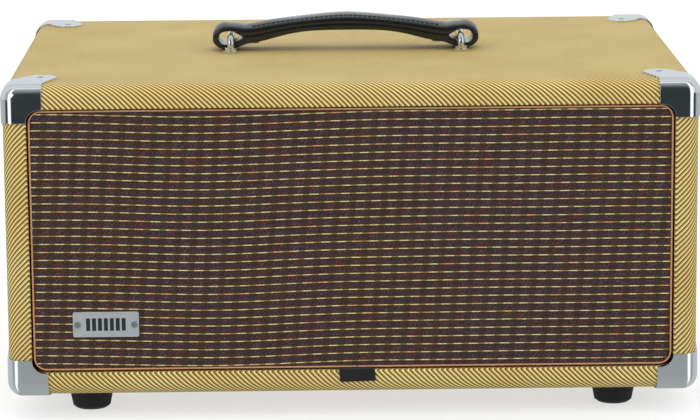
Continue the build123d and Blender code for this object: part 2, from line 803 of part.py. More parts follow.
front_panel = block(
    (-rack_panel_width / 2, rack_panel_width / 2),
    (panel_front, panel_back),
    (panel_low, panel_low + rack_panel_height),
)
vent_slot = 56.0
vent_row = panel_low + rack_panel_height - 18.0 - vent_slot / 2
front_panel -= slots(37, vent_slot, slot_width, panel_front, [vent_row])
for x, z in rack_holes:
    slot_face = facing(x, panel_front, z, 1) * SlotOverall(10.0, 6.4)
    front_panel -= extrude(slot_face, 5.0, both=True)
for x, radius in (
    [(x, bush_radius) for x in knob_x]
    + [(x, jack_bush) for x in input_x]
    + [(x, toggle_bush) for x in toggle_x]
    + [(lamp_x, lamp_bush)]
):
    front_panel -= along_y(x, control_z, (panel_front - 1, panel_back + 1), radius)
save("front_panel", front_panel)

# ---------------------------------------------------------------- chassis tray
deck = tray_bottom + tray_height
tray_half = tray_width / 2
preamp_spots = [(-165.0, -95.0), (-125.0, -95.0), (-85.0, -95.0)]
power_spots = [(-20.0, 5.0), (40.0, 5.0)]
can_spots = [(-30.0, -95.0), (15.0, -95.0), (60.0, -95.0)]
preamp_hole = 10.5
power_hole = 14.0
inner_half = tray_half - tray_steel
inner_y = (tray_front + tray_steel, tray_rear - tray_steel)
lip_y = (tray_front + tray_flange, tray_rear - tray_flange)
wall_z = (tray_bottom, deck - tray_steel)
lip_z = (tray_bottom, tray_bottom + tray_steel)

# the tray is made of five steel plates, spot-welded along their edges, with a lip round its open bottom
deck_plate = block((-tray_half, tray_half), (tray_front, tray_rear), (deck - tray_steel, deck))
front_plate = block((-tray_half, tray_half), (tray_front, inner_y[0]), wall_z)
front_plate += block((-tray_half, tray_half), (tray_front, lip_y[0]), lip_z)
rear_plate = block((-tray_half, tray_half), (inner_y[1], tray_rear), wall_z)
rear_plate += block((-tray_half, tray_half), (lip_y[1], tray_rear), lip_z)
left_plate = block((-tray_half, -inner_half), inner_y, wall_z)
left_plate += block((-tray_half, -tray_half + tray_flange), lip_y, lip_z)
right_plate = block((inner_half, tray_half), inner_y, wall_z)
right_plate += block((tray_half - tray_flange, tray_half), lip_y, lip_z)

for spots, radius in ((preamp_spots, preamp_hole), (power_spots, power_hole)):
    for x, y in spots:
        deck_plate -= upright(x, y, (deck - 5, deck + 5), radius)
for x, radius in (
    [(x, bush_radius) for x in knob_x]
    + [(x, jack_bush) for x in input_x]
    + [(x, toggle_bush) for x in toggle_x]
    + [(lamp_x, lamp_bush)]
):
    front_plate -= along_y(x, control_z, (tray_front - 1, tray_front + 5), radius)
for x, radius in [(x, jack_bush) for x in speaker_x] + [(fuse_x, fuse_bush)]:
    rear_plate -= along_y(x, control_z, (tray_rear - 5, tray_rear + 1), radius)
inlet_body = (28.0, 20.0)
rear_plate -= block(
    (inlet_x - inlet_body[0] / 2, inlet_x + inlet_body[0] / 2),
    (tray_rear - 5, tray_rear + 5),
    (control_z - inlet_body[1] / 2, control_z + inlet_body[1] / 2),
)
save("chassis_tray", deck_plate, front_plate, rear_plate, left_plate, right_plate)

# ---------------------------------------------------------------- valves and their sockets
socket_rise = 2.0
preamp_base = 9.8
power_base = 17.0


def valve_socket(x, y, hole, rim):
    """A moulded valve socket, hung in the deck by its rim."""
    return upright(x, y, (deck - 14.0, deck), hole) + upright(x, y, (deck, deck + socket_rise), rim)


def glass_valve(x, y, base, base_rise, bulb, height, waist):
    """A valve: its base or pinch, a shouldered bulb and a closed dome, turned about Z."""
    foot_z = deck + socket_rise
    outline = Polyline(
        (0, foot_z),
        (base, foot_z),
        (base, foot_z + base_rise),
        (bulb, foot_z + base_rise + waist),
        (bulb, foot_z + height - bulb),
    )
    dome = ThreePointArc(
        (bulb, foot_z + height - bulb),
        (bulb * sin(radians(45)), foot_z + height - bulb + bulb * sin(radians(45))),
        (0, foot_z + height),
    )
    half = make_face([*outline.edges(), dome.edge(), Line((0, foot_z + height), (0, foot_z)).edge()])
    return Pos(x, y, 0) * revolve(Plane.XZ * half, Axis.Z)


save("preamp_sockets", *[valve_socket(x, y, preamp_hole, 14.0) for x, y in preamp_spots])
save("power_sockets", *[valve_socket(x, y, power_hole, 20.0) for x, y in power_spots])
save("preamp_valves", *[glass_valve(x, y, preamp_base, 3.0, 10.6, 50.0, 1.0) for x, y in preamp_spots])
save("power_valves", *[glass_valve(x, y, power_base, 14.0, 19.0, 92.0, 8.0) for x, y in power_spots])

# ---------------------------------------------------------------- transformers, choke, capacitors


def transformer(x, y, width, depth, height, core):
    """A transformer: laminated core between two rounded end bells, on a footed frame."""
    shape = block((x - width / 2, x + width / 2), (y - core / 2, y + core / 2), (deck, deck + height))
    bell = block(
        (x - width / 2 + 5, x + width / 2 - 5), (y - depth / 2, y + depth / 2), (deck + 5, deck + height - 5)
    )
    bell = fillet(bell.edges().filter_by(Axis.X), min(depth, height) * 0.18)
    flange_x = (x - width / 2 + 3, x + width / 2 - 3)
    flange_y = (y - depth / 2 - 6, y + depth / 2 + 6)
    shape += bell + block(flange_x, flange_y, (deck, deck + 2))
    for s in (-1, 1):
        for t in (-1, 1):
            bolt_x = x + s * (width / 2 - 8)
            bolt_y = y + t * (depth / 2 + 1)
            shape += upright(bolt_x, bolt_y, (deck + 2, deck + 5.5), 3.2)
    return shape


save("power_transformer", transformer(150.0, 40.0, 96.0, 84.0, 88.0, 40.0))
save("output_transformer", transformer(-130.0, 60.0, 84.0, 70.0, 74.0, 34.0))
save("filter_choke", transformer(150.0, -85.0, 58.0, 48.0, 50.0, 22.0))


def capacitor(x, y):
    """A can capacitor in its clamp ring, with a rolled shoulder."""
    can = fillet(upright(x, y, (deck, deck + 68.0), 17.5).edges().group_by(Axis.Z)[-1], 2.0)
    return can + upright(x, y, (deck, deck + 9.0), 19.0)


save("filter_capacitors", *[capacitor(x, y) for x, y in can_spots])

pcb_z = deck - tray_steel - 16.0
pcb = block((-150.0, 120.0), (-75.0, 85.0), (pcb_z - 1.6, pcb_z))
for x in (-140.0, 110.0):
    for y in (-65.0, 75.0):
        pcb += upright(x, y, (pcb_z, deck - tray_steel), 3.0)
for k in range(12):
    along = -130.0 + k * 20.0
    pcb += along_y(along, pcb_z - 4.6, (-55.0, -43.0), 3.2)
    pcb += along_y(along, pcb_z - 5.6, (30.0, 52.0), 4.2)
    pcb += block((along - 0.4, along + 0.4), (-59.0, -39.0), (pcb_z - 5.0, pcb_z - 1.0))
    pcb += block((along - 0.4, along + 0.4), (26.0, 56.0), (pcb_z - 6.0, pcb_z - 1.0))
save("circuit_board", pcb)

# ---------------------------------------------------------------- knobs and their potentiometers
bush_front = panel_front - 4.0
shaft_end = tray_front + tray_steel + 8.0


def potentiometer(x):
    """A potentiometer: its case behind the panel, a threaded bush through it, and a nut."""
    rear_of_tray = tray_front + tray_steel
    case = along_y(x, control_z, (rear_of_tray, rear_of_tray + 12.0), 12.0)
    case += along_y(x, control_z, (bush_front, rear_of_tray), bush_radius)
    case += block((x - 8, x + 8), (rear_of_tray + 2, rear_of_tray + 6), (control_z - 20, control_z))
    case += hex_nut(facing(x, panel_front, control_z, -1), 14.0, 2.2)
    return case - along_y(x, control_z, (bush_front - 1, shaft_end + 0.5), shaft_radius + shaft_clearance)


def knob(x):
    """A skirted pointer knob on its shaft, hollow behind so that it clears the nut."""
    rear = panel_front - 0.8
    face = rear - knob_length
    body = along_y(x, control_z, (face, rear - 2.2), knob_radius * 0.92, knob_radius)
    body = fillet(body.edges().sort_by(Axis.Y)[0], 1.2)
    body += along_y(x, control_z, (rear - 2.2, rear), knob_radius + 0.6, knob_skirt)
    for k in range(20):
        turn = 2 * pi * k / 20
        groove_x = x + (knob_radius + 0.35) * cos(turn)
        groove_z = control_z + (knob_radius + 0.35) * sin(turn)
        body -= along_y(groove_x, groove_z, (face - 1, rear - 3.4), 0.9)
    body -= block((x - 0.6, x + 0.6), (face - 1, face + 0.7), (control_z + 2.0, control_z + knob_radius))
    body -= along_y(x, control_z, (bush_front - 0.8, rear + 1), 9.2)
    return body + along_y(x, control_z, (bush_front - 1.8, shaft_end), shaft_radius)


save("potentiometers", *[potentiometer(x) for x in knob_x])
for name, x in zip(knob_names, knob_x):
    save(f"{name}_knob", knob(x))

# ---------------------------------------------------------------- toggle switches and pilot lamp
toggle_tilt = 12.0
toggle_pivot = panel_front + 1.0
toggle_length = 15.5


def toggle_body(x):
    """A toggle switch: its case behind the panel and a threaded bush with a wide mouth."""
    case_front = tray_front + tray_steel
    case = block((x - 7, x + 7), (case_front, case_front + 22.0), (control_z - 11, control_z + 11))
    case += along_y(x, control_z, (panel_front - 6.0, case_front), toggle_bush)
    case += hex_nut(facing(x, panel_front, control_z, -1), 16.0, 2.4)
    return case - along_y(x, control_z, (panel_front - 7, toggle_pivot + 5.0), 4.7)


def toggle_lever(x):
    """A bat lever on its pivot ball, resting in the lower position."""
    lever = along_y(0, 0, (-toggle_length, 0), 2.6, 1.7) + Sphere(3.4)
    lever += Pos(0, -toggle_length, 0) * Sphere(2.6)
    return Pos(x, toggle_pivot, control_z) * Rot(toggle_tilt, 0, 0) * lever


save("toggle_bodies", *[toggle_body(x) for x in toggle_x])
save("standby_toggle", toggle_lever(toggle_x[0]))
save("power_toggle", toggle_lever(toggle_x[1]))

lamp_rim = along_y(lamp_x, control_z, (panel_front - 4.0, panel_front), 8.2, 9.2)
lamp_rim += along_y(lamp_x, control_z, (panel_front - 1, tray_front + 20.0), lamp_bush)
lamp_rim -= along_y(lamp_x, control_z, (panel_front - 5, panel_front + 3.0), 5.8)
jewel = along_y(lamp_x, control_z, (panel_front - 4.0, panel_front + 3.0), 5.8)
jewel += along_y(lamp_x, control_z, (panel_front - 7.5, panel_front - 4.0), 3.0, 5.8)
save("pilot_bezel", lamp_rim)
save("pilot_jewel", jewel)

# ---------------------------------------------------------------- jacks, mains inlet, fuse


def jack(x, face, outward, sheet):
    """A panel jack: nut and bush outside, contact housing inside, and a blind bore for the plug."""
    mouth = face + outward * 5.0
    inner = face - outward * sheet
    span = sorted((mouth, inner))
    shape = along_y(x, control_z, span, jack_bush)
    shape += hex_nut(facing(x, face, control_z, outward), 14.0, 2.4)
    rear = mouth - outward * (jack_depth + 4.0)
    shape += block((x - 9, x + 9), sorted((inner, rear)), (control_z - 10, control_z + 10))
    return shape - along_y(x, control_z, sorted((mouth, mouth - outward * jack_depth)), jack_bore)


jacks = [jack(x, panel_front, -1, rack_panel_thick + tray_steel) for x in input_x]
jacks += [jack(x, tray_rear, 1, tray_steel) for x in speaker_x]
save("jack_sockets", *jacks)

inlet = block(
    (inlet_x - 25, inlet_x + 25), (tray_rear, tray_rear + 3), (control_z - 12.5, control_z + 12.5)
)
inlet += block(
    (inlet_x - inlet_body[0] / 2, inlet_x + inlet_body[0] / 2),
    (tray_rear - 16, tray_rear + 3),
    (control_z - inlet_body[1] / 2, control_z + inlet_body[1] / 2),
)
inlet -= block((inlet_x - 12, inlet_x + 12), (tray_rear - 13, tray_rear + 4), (control_z - 8, control_z + 8))
for x, z in ((-7, -2), (7, -2), (0, 3)):
    pin_x = (inlet_x + x - 1, inlet_x + x + 1)
    pin_z = (control_z + z - 2, control_z + z + 2)
    inlet += block(pin_x, (tray_rear - 13, tray_rear - 4), pin_z)
save("mains_inlet", inlet)

# fuse holder: a tube behind the tray, a glass fuse, and a cap that grips the fuse's end
fuse_front = tray_rear + 4.0
fuse_radius = 2.6
fuse_length = 20.0
fuse_well = 5.0
fuse_grip = 6.0
cap_length = 8.0
cap_stem = 10.0
holder = along_y(fuse_x, control_z, (tray_rear - 34.0, fuse_front), fuse_bush)
holder += along_y(fuse_x, control_z, (tray_rear, tray_rear + 2.0), 10.0)
holder -= along_y(fuse_x, control_z, (tray_rear - 28.0, fuse_front + 1), fuse_well)
fuse_outer = fuse_front - cap_stem + fuse_grip
fuse = along_y(fuse_x, control_z, (fuse_outer - fuse_length, fuse_outer), fuse_radius)
cap = along_y(fuse_x, control_z, (fuse_front + 0.4, fuse_front + cap_length), 7.0)
for k in range(16):
    turn = 2 * pi * k / 16
    flute = (fuse_x + 7.2 * cos(turn), control_z + 7.2 * sin(turn))
    cap -= along_y(*flute, (fuse_front, fuse_front + cap_length + 1), 0.8)
cap -= facing(fuse_x, fuse_front + cap_length, control_z, 1) * Box(9.0, 1.4, 2.4)
stem = (fuse_front - cap_stem, fuse_front + 0.4)
cap += along_y(fuse_x, control_z, stem, fuse_well - shaft_clearance)
cap -= along_y(fuse_x, control_z, (stem[0] - 1, fuse_outer + 0.3), fuse_radius + shaft_clearance)
save("fuse_holder", holder)
save("fuse_tube", fuse)
save("fuse_cap", cap)
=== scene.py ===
"""A tweed-covered valve amplifier head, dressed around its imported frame.

Every length is in metres. X runs to the right, Y to the back and Z up, from under the cabinet's middle.
"""

import logging
import math
from collections.abc import Iterable, Sequence
from dataclasses import dataclass
from enum import Enum

import bmesh
import bpy
from mathutils import Matrix, Vector
from mathutils.bvhtree import BVHTree


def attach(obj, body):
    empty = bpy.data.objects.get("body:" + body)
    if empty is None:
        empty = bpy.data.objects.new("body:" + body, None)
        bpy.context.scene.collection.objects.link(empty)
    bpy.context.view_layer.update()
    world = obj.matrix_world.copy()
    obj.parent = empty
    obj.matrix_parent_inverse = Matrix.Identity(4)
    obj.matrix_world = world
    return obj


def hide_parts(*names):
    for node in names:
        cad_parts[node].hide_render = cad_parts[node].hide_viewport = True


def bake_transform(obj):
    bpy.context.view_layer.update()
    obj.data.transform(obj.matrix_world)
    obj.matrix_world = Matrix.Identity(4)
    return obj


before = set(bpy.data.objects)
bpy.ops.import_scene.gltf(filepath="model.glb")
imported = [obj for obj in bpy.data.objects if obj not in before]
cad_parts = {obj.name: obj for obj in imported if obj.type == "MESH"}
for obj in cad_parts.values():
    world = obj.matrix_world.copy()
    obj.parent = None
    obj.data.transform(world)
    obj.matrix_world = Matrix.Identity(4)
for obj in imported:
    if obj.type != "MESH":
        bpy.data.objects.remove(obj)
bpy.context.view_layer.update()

LOG = logging.getLogger("amplifier")
MM = 0.001

Point = tuple[float, float, float]
Socket = bpy.types.NodeSocket
Inputs = dict[str | int, object]


class Direction(Enum):
    """The way that a grain, a brushed line or a bar runs."""

    ALONG = (1.0, 0.0, 0.0)
    UP = (0.0, 0.0, 1.0)


class Body(Enum):
    """The bodies of the frame that new pieces ride on."""

    CABINET = "cabinet"
    COVER = "grille_cover"
    TAB = "tab"
    HANDLE = "handle"


# ---------------------------------------------------------------- colours and nodes
def linear(code: str) -> tuple[float, float, float, float]:
    """Turns an sRGB hex colour into linear light.

    Args:
        code: The colour, such as "#c8a050".

    Returns:
        Red, green, blue and an alpha of 1.
    """
    shares = [int(code[k : k + 2], 16) / 255 for k in (1, 3, 5)]
    red, green, blue = [c / 12.92 if c <= 0.04045 else ((c + 0.055) / 1.055) ** 2.4 for c in shares]
    return red, green, blue, 1.0


def add_node(
    tree: bpy.types.NodeTree,
    kind: str,
    inputs: Inputs | None = None,
    out: str | int = 0,
    stops: Sequence[tuple[float, str | float]] = (),
    **settings: object,
) -> Socket | None:
    """Adds one node with its settings and its links.

    Args:
        tree: The node tree that it goes in.
        kind: The node's type, without its "ShaderNode".
        inputs: Input sockets by name or number, each a socket to link or a value to set.
        out: The output socket that the caller wants.
        stops: Places and colours of a colour ramp.
        settings: The node's own properties.

    Returns:
        The output socket, or None for a node that has none.
    """
    node = tree.nodes.new("ShaderNode" + kind)
    for name, value in settings.items():
        setattr(node, name, value)
    for name, value in (inputs or {}).items():
        if isinstance(value, Socket):
            tree.links.new(value, node.inputs[name])
        else:
            node.inputs[name].default_value = linear(value) if isinstance(value, str) else value
    for k, (place, colour) in enumerate(stops):
        elements = node.color_ramp.elements
        element = elements[k] if k < 2 else elements.new(place)
        element.position = place
        element.color = linear(colour) if isinstance(colour, str) else (colour, colour, colour, 1.0)
    return node.outputs[out] if node.outputs else None


# ---------------------------------------------------------------- finishes
@dataclass(frozen=True)
class Finish:
    """A surface finish: one even colour unless a kind of finish adds a pattern."""

    name: str
    colour: str = "#808080"
    roughness: float = 0.5
    metallic: float = 0.0

    def constants(self) -> Inputs:
        """The values that are the same all over the surface."""
        return {"Base Color": self.colour, "Roughness": self.roughness, "Metallic": self.metallic}

    def pattern(self, tree: bpy.types.NodeTree, place: Socket) -> Inputs:
        """The inputs that vary over the surface.

        Args:
            tree: The material's node tree.
            place: The point on the surface, in metres.

        Returns:
            Sockets for the surface shader, by input name.
        """
        return {}

    def build(self) -> bpy.types.Material:
        """Makes the material."""
        material = bpy.data.materials.new(self.name)
        material.use_nodes = True
        tree = material.node_tree
        tree.nodes.clear()
        place = add_node(tree, "TexCoord", out="Object")
        shader = add_node(tree, "BsdfPrincipled", self.constants() | self.pattern(tree, place))
        add_node(tree, "OutputMaterial", {"Surface": shader})
        return material


@dataclass(frozen=True)
class LacqueredTweed(Finish):
    """Cotton twill glued down and lacquered: fat diagonal cords with a dark line between them."""

    cord_spacing: float = 4.4 * MM  # measured along an edge
    ply_spacing: float = 1.7 * MM
    half_width: float = 285.75 * MM
    middle: float = 150 * MM
    half_height: float = 130 * MM
    bend: float = 45.4545 * MM  # the size of the cloth's slow bends
    wobble: float = 1.5 * MM
    fibre: float = 0.76923 * MM  # coarser than cotton, so that it shows
    patch: float = 71.4286 * MM
    relief: float = 0.5 * MM

    def constants(self) -> Inputs:
        """A satin varnish over matt cotton."""
        return {"Roughness": 0.6, "Specular IOR Level": 0.22}

    def phases(self, tree: bpy.types.NodeTree, place: Socket) -> tuple[Socket, Socket]:
        """How far a point is across the cords and along them.

        Args:
            tree: The material's node tree.
            place: The point on the surface.

        Returns:
            The two distances in spacings, turned over on the boards at the sides.
        """
        slow = {"Vector": place, "Scale": 1 / self.bend, "Detail": 2.0}
        noise = add_node(tree, "TexNoise", slow, out="Color")
        centred = add_node(tree, "VectorMath", {0: noise, 1: (0.5, 0.5, 0.5)}, operation="SUBTRACT")
        shift = add_node(tree, "VectorMath", {0: centred, "Scale": self.wobble}, operation="SCALE")
        bent = add_node(tree, "VectorMath", {0: place, 1: shift}, operation="ADD")
        x, y, z = add_node(tree, "SeparateXYZ", {0: bent}).node.outputs
        level = add_node(tree, "Math", {0: z, 1: self.middle}, operation="SUBTRACT")
        side_way = add_node(tree, "Math", {0: x}, operation="SIGN")
        rail_way = add_node(tree, "Math", {0: level}, operation="SIGN")
        side_y = add_node(tree, "Math", {0: y, 1: side_way}, operation="MULTIPLY")
        rail_y = add_node(tree, "Math", {0: y, 1: rail_way}, operation="MULTIPLY")
        past_side = add_node(tree, "Math", {0: x}, operation="ABSOLUTE")
        past_side = add_node(tree, "Math", {0: past_side, 1: self.half_width}, operation="SUBTRACT")
        past_top = add_node(tree, "Math", {0: level}, operation="ABSOLUTE")
        past_top = add_node(tree, "Math", {0: past_top, 1: self.half_height}, operation="SUBTRACT")
        on_side = add_node(tree, "Math", {0: past_side, 1: past_top}, operation="GREATER_THAN")
        depth = add_node(tree, "Mix", {0: on_side, 2: rail_y, 3: side_y})
        lean = add_node(tree, "Mix", {0: on_side, 2: 1.0, 3: -1.0})
        leaning = add_node(tree, "Math", {0: z, 1: lean}, operation="MULTIPLY")
        rising = add_node(tree, "Math", {0: depth, 1: leaning}, operation="ADD")
        across = add_node(tree, "Math", {0: x, 1: rising}, operation="ADD")
        along = add_node(tree, "Math", {0: x, 1: rising}, operation="SUBTRACT")
        return (
            add_node(tree, "Math", {0: across, 1: self.cord_spacing}, operation="DIVIDE"),
            add_node(tree, "Math", {0: along, 1: self.ply_spacing}, operation="DIVIDE"),
        )

    def pattern(self, tree: bpy.types.NodeTree, place: Socket) -> Inputs:
        """Cords, their plies, and the uneven lacquer over them."""
        across, along = self.phases(tree, place)
        share = add_node(tree, "Math", {0: across}, operation="FRACT")
        cord = add_node(
            tree,
            "ValToRGB",
            {0: share},
            stops=[
                (0.0, "#3a2b05"),
                (0.1, "#7e682a"),
                (0.24, "#a98f45"),
                (0.46, "#b99e52"),
                (0.6, "#ffefb0"),
                (0.74, "#efd892"),
                (0.92, "#3a2b05"),
            ],
        )
        slant = add_node(tree, "Math", {0: share, 1: 1.3}, operation="MULTIPLY")
        ply = add_node(tree, "Math", {0: along, 1: slant}, operation="ADD")
        ply = add_node(tree, "Math", {0: ply, 1: 0.5}, operation="PINGPONG")
        ply_tone = add_node(tree, "ValToRGB", {0: ply}, stops=[(0.0, 0.6), (0.3, 1.0)])
        fibre = add_node(tree, "TexNoise", {"Vector": place, "Scale": 1 / self.fibre, "Detail": 2.0})
        fibre_tone = add_node(tree, "ValToRGB", {0: fibre}, stops=[(0.3, 0.8), (0.7, 1.0)])
        patch = add_node(tree, "TexNoise", {"Vector": place, "Scale": 1 / self.patch, "Detail": 4.0})
        patch_tone = add_node(tree, "ValToRGB", {0: patch}, stops=[(0.3, "#f4eedd"), (0.7, "#ffffff")])
        colour = cord
        for tone in (ply_tone, fibre_tone, patch_tone):
            colour = add_node(
                tree, "Mix", {0: 1.0, 6: colour, 7: tone}, 2, data_type="RGBA", blend_type="MULTIPLY"
            )
        swells = [(0.0, 0.0), (0.2, 0.6), (0.6, 1.0), (0.95, 0.0)]
        swell = add_node(tree, "ValToRGB", {0: share}, stops=swells)
        ply_swell = add_node(tree, "Math", {0: ply, 1: 0.5}, operation="MULTIPLY")
        height = add_node(tree, "Math", {0: swell, 1: ply_swell}, operation="ADD")
        bump = add_node(tree, "Bump", {"Height": height, "Strength": 0.6, "Distance": self.relief})
        return {"Base Color": colour, "Normal": bump}


@dataclass(frozen=True)
class GrilleWeave(Finish):
    """Amplifier grille cloth: an oxblood ground crossed by ribs of gold thread that come and go."""

    wander: float = 2.38095 * MM  # how far a ground thread runs before it strays
    grain: float = 1.11111 * MM
    lean: float = 1.75
    threads: float = 4.0  # ground threads in the length of a dash
    relief: float = 0.3 * MM

    def constants(self) -> Inputs:
        """Matt plastic-coated yarn."""
        return {"Roughness": 0.72, "Specular IOR Level": 0.3}

    def pattern(self, tree: bpy.types.NodeTree, place: Socket) -> Inputs:
        """Ribs, dashes, slanting ground threads and drifts of colour in the yarn."""
        woven = add_node(tree, "Attribute", out="Vector", attribute_name="weave_place")
        across, up, _ = add_node(tree, "SeparateXYZ", {0: woven}).node.outputs
        away = add_node(tree, "Math", {0: up, 1: 0.5}, operation="PINGPONG")
        rib = add_node(tree, "ValToRGB", {0: away}, stops=[(0.042, 1.0), (0.08, 0.0)])
        shade = add_node(tree, "ValToRGB", {0: away}, stops=[(0.15, 0.9), (0.26, 0.0)])
        row_shift = add_node(tree, "Math", {0: up, 1: 0.045}, operation="MULTIPLY")
        period = add_node(tree, "Math", {0: across, 1: row_shift}, operation="SUBTRACT")
        period = add_node(tree, "Math", {0: period}, operation="FRACT")
        dashes = [(0.0, 0.0), (0.09, 1.0), (0.56, 1.0), (0.68, 0.0)]
        dash = add_node(tree, "ValToRGB", {0: period}, stops=dashes)
        # drifts of colour run far along the rows and change from row to row
        streak = add_node(tree, "VectorMath", {0: woven, 1: (0.55, 1.1, 0.0)}, operation="MULTIPLY")
        far = {"Vector": streak, "Scale": 1.0, "Detail": 3.0, "Roughness": 0.65}
        drift = add_node(tree, "TexNoise", far)
        ground = add_node(
            tree,
            "ValToRGB",
            {0: drift},
            stops=[
                (0.3, "#2a2120"),
                (0.43, "#342026"),
                (0.52, "#301d1a"),
                (0.6, "#431a18"),
                (0.68, "#2b2118"),
            ],
        )
        gold = add_node(
            tree,
            "ValToRGB",
            {0: drift},
            stops=[(0.35, "#c6b672"), (0.52, "#d6c590"), (0.6, "#c4885c"), (0.7, "#c6b46a")],
        )
        browns = [(0.52, "#362b13"), (0.6, "#44200f"), (0.7, "#362b13")]
        shadow = add_node(tree, "ValToRGB", {0: drift}, stops=browns)
        line = add_node(tree, "Mix", {0: dash, 6: "#84713a", 7: gold}, 2, data_type="RGBA")
        # ground threads lean to the right between the ribs
        lean = add_node(tree, "Math", {0: up, 1: -self.lean}, operation="MULTIPLY")
        wander = add_node(tree, "TexNoise", {"Vector": place, "Scale": 1 / self.wander, "Detail": 2.0})
        lean = add_node(tree, "Math", {0: wander, 1: 2.2, 2: lean}, operation="MULTIPLY_ADD")
        thread = add_node(tree, "Math", {0: across, 1: self.threads, 2: lean}, operation="MULTIPLY_ADD")
        thread = add_node(tree, "Math", {0: thread, 1: 0.5}, operation="PINGPONG")
        thread = add_node(tree, "ValToRGB", {0: thread}, stops=[(0.08, 1.0), (0.26, 0.0)])
        swings = [(0.0, 0.3), (0.3, 0.72), (0.62, 0.5), (0.8, 0.25)]
        swing = add_node(tree, "ValToRGB", {0: period}, stops=swings)
        thread = add_node(tree, "Math", {0: thread, 1: swing}, operation="MULTIPLY")
        fine = {"Vector": place, "Scale": 1 / self.grain, "Detail": 3.0, "Roughness": 0.7}
        grain = add_node(tree, "TexNoise", fine)
        thread = add_node(tree, "Math", {0: thread, 1: grain}, operation="MULTIPLY")
        colour = add_node(tree, "Mix", {0: thread, 6: ground, 7: "#80646a"}, 2, data_type="RGBA")
        colour = add_node(tree, "Mix", {0: shade, 6: colour, 7: shadow}, 2, data_type="RGBA")
        colour = add_node(tree, "Mix", {0: rib, 6: colour, 7: line}, 2, data_type="RGBA")
        tone = add_node(tree, "ValToRGB", {0: grain}, stops=[(0.34, 0.42), (0.62, 1.0)])
        colour = add_node(
            tree, "Mix", {0: 1.0, 6: colour, 7: tone}, 2, data_type="RGBA", blend_type="MULTIPLY"
        )
        height = add_node(tree, "Math", {0: thread, 1: grain}, operation="ADD")
        bump = add_node(tree, "Bump", {"Height": height, "Strength": 0.5, "Distance": self.relief})
        return {"Base Color": colour, "Normal": bump}


@dataclass(frozen=True)
class Polished(Finish):
    """Plated or bare metal whose gloss is broken by faint handling marks."""

    mark: float = 16.6667 * MM
    smear: float = 0.05  # how much rougher a mark is
    edge: float = 0.0

    def pattern(self, tree: bpy.types.NodeTree, place: Socket) -> Inputs:
        """Smudges in the roughness, and edges worn round by the buffing wheel."""
        marks = add_node(tree, "TexNoise", {"Vector": place, "Scale": 1 / self.mark, "Detail": 4.0})
        gloss = [(0.35, self.roughness), (0.7, self.roughness + self.smear)]
        inputs: Inputs = {"Roughness": add_node(tree, "ValToRGB", {0: marks}, stops=gloss)}
        if self.edge:
            inputs["Normal"] = add_node(tree, "Bevel", {"Radius": self.edge}, samples=4)
        return inputs


@dataclass(frozen=True)
class Brushed(Finish):
    """Metal brushed in one direction, so its fine lines run that way."""

    along: Direction = Direction.ALONG
    line_spacing: float = 0.35 * MM
    stretch: float = 0.03
    depth: float = 0.12
    relief: float = 0.1 * MM

    def pattern(self, tree: bpy.types.NodeTree, place: Socket) -> Inputs:
        """Long thin scratches in roughness, tone and relief."""
        squeeze = tuple(self.stretch if share else 1.0 for share in self.along.value)
        drawn = add_node(tree, "VectorMath", {0: place, 1: squeeze}, operation="MULTIPLY")
        lines = add_node(tree, "TexNoise", {"Vector": drawn, "Scale": 1 / self.line_spacing, "Detail": 3.0})
        rough = add_node(
            tree, "ValToRGB", {0: lines}, stops=[(0.3, self.roughness), (0.7, self.roughness + 0.14)]
        )
        tone = add_node(tree, "ValToRGB", {0: lines}, stops=[(0.3, 0.84), (0.7, 1.0)])
        colour = add_node(
            tree, "Mix", {0: 1.0, 6: self.colour, 7: tone}, 2, data_type="RGBA", blend_type="MULTIPLY"
        )
        bump = add_node(tree, "Bump", {"Height": lines, "Strength": self.depth, "Distance": self.relief})
        return {"Base Color": colour, "Roughness": rough, "Normal": bump}


@dataclass(frozen=True)
class Moulded(Finish):
    """Moulded, painted or coated stock with a fine pitted skin and a slightly uneven tone."""

    pit_spacing: float = 0.8 * MM
    pit_depth: float = 0.1 * MM
    strength: float = 0.25
    unevenness: float = 0.82
    coat: float = 0.0
    patch: float = 28.5714 * MM

    def constants(self) -> Inputs:
        """The even values and a clear coat where the stock has one."""
        return super().constants() | {"Coat Weight": self.coat, "Coat Roughness": 0.22}

    def pattern(self, tree: bpy.types.NodeTree, place: Socket) -> Inputs:
        """Pits in the relief and patches in the tone."""
        pits = add_node(tree, "TexNoise", {"Vector": place, "Scale": 1 / self.pit_spacing, "Detail": 3.0})
        patch = add_node(tree, "TexNoise", {"Vector": place, "Scale": 1 / self.patch, "Detail": 4.0})
        tone = add_node(tree, "ValToRGB", {0: patch}, stops=[(0.3, self.unevenness), (0.7, 1.0)])
        colour = add_node(
            tree, "Mix", {0: 1.0, 6: self.colour, 7: tone}, 2, data_type="RGBA", blend_type="MULTIPLY"
        )
        relief = {"Height": pits, "Strength": self.strength, "Distance": self.pit_depth}
        bump = add_node(tree, "Bump", relief)
        return {"Base Color": colour, "Normal": bump}


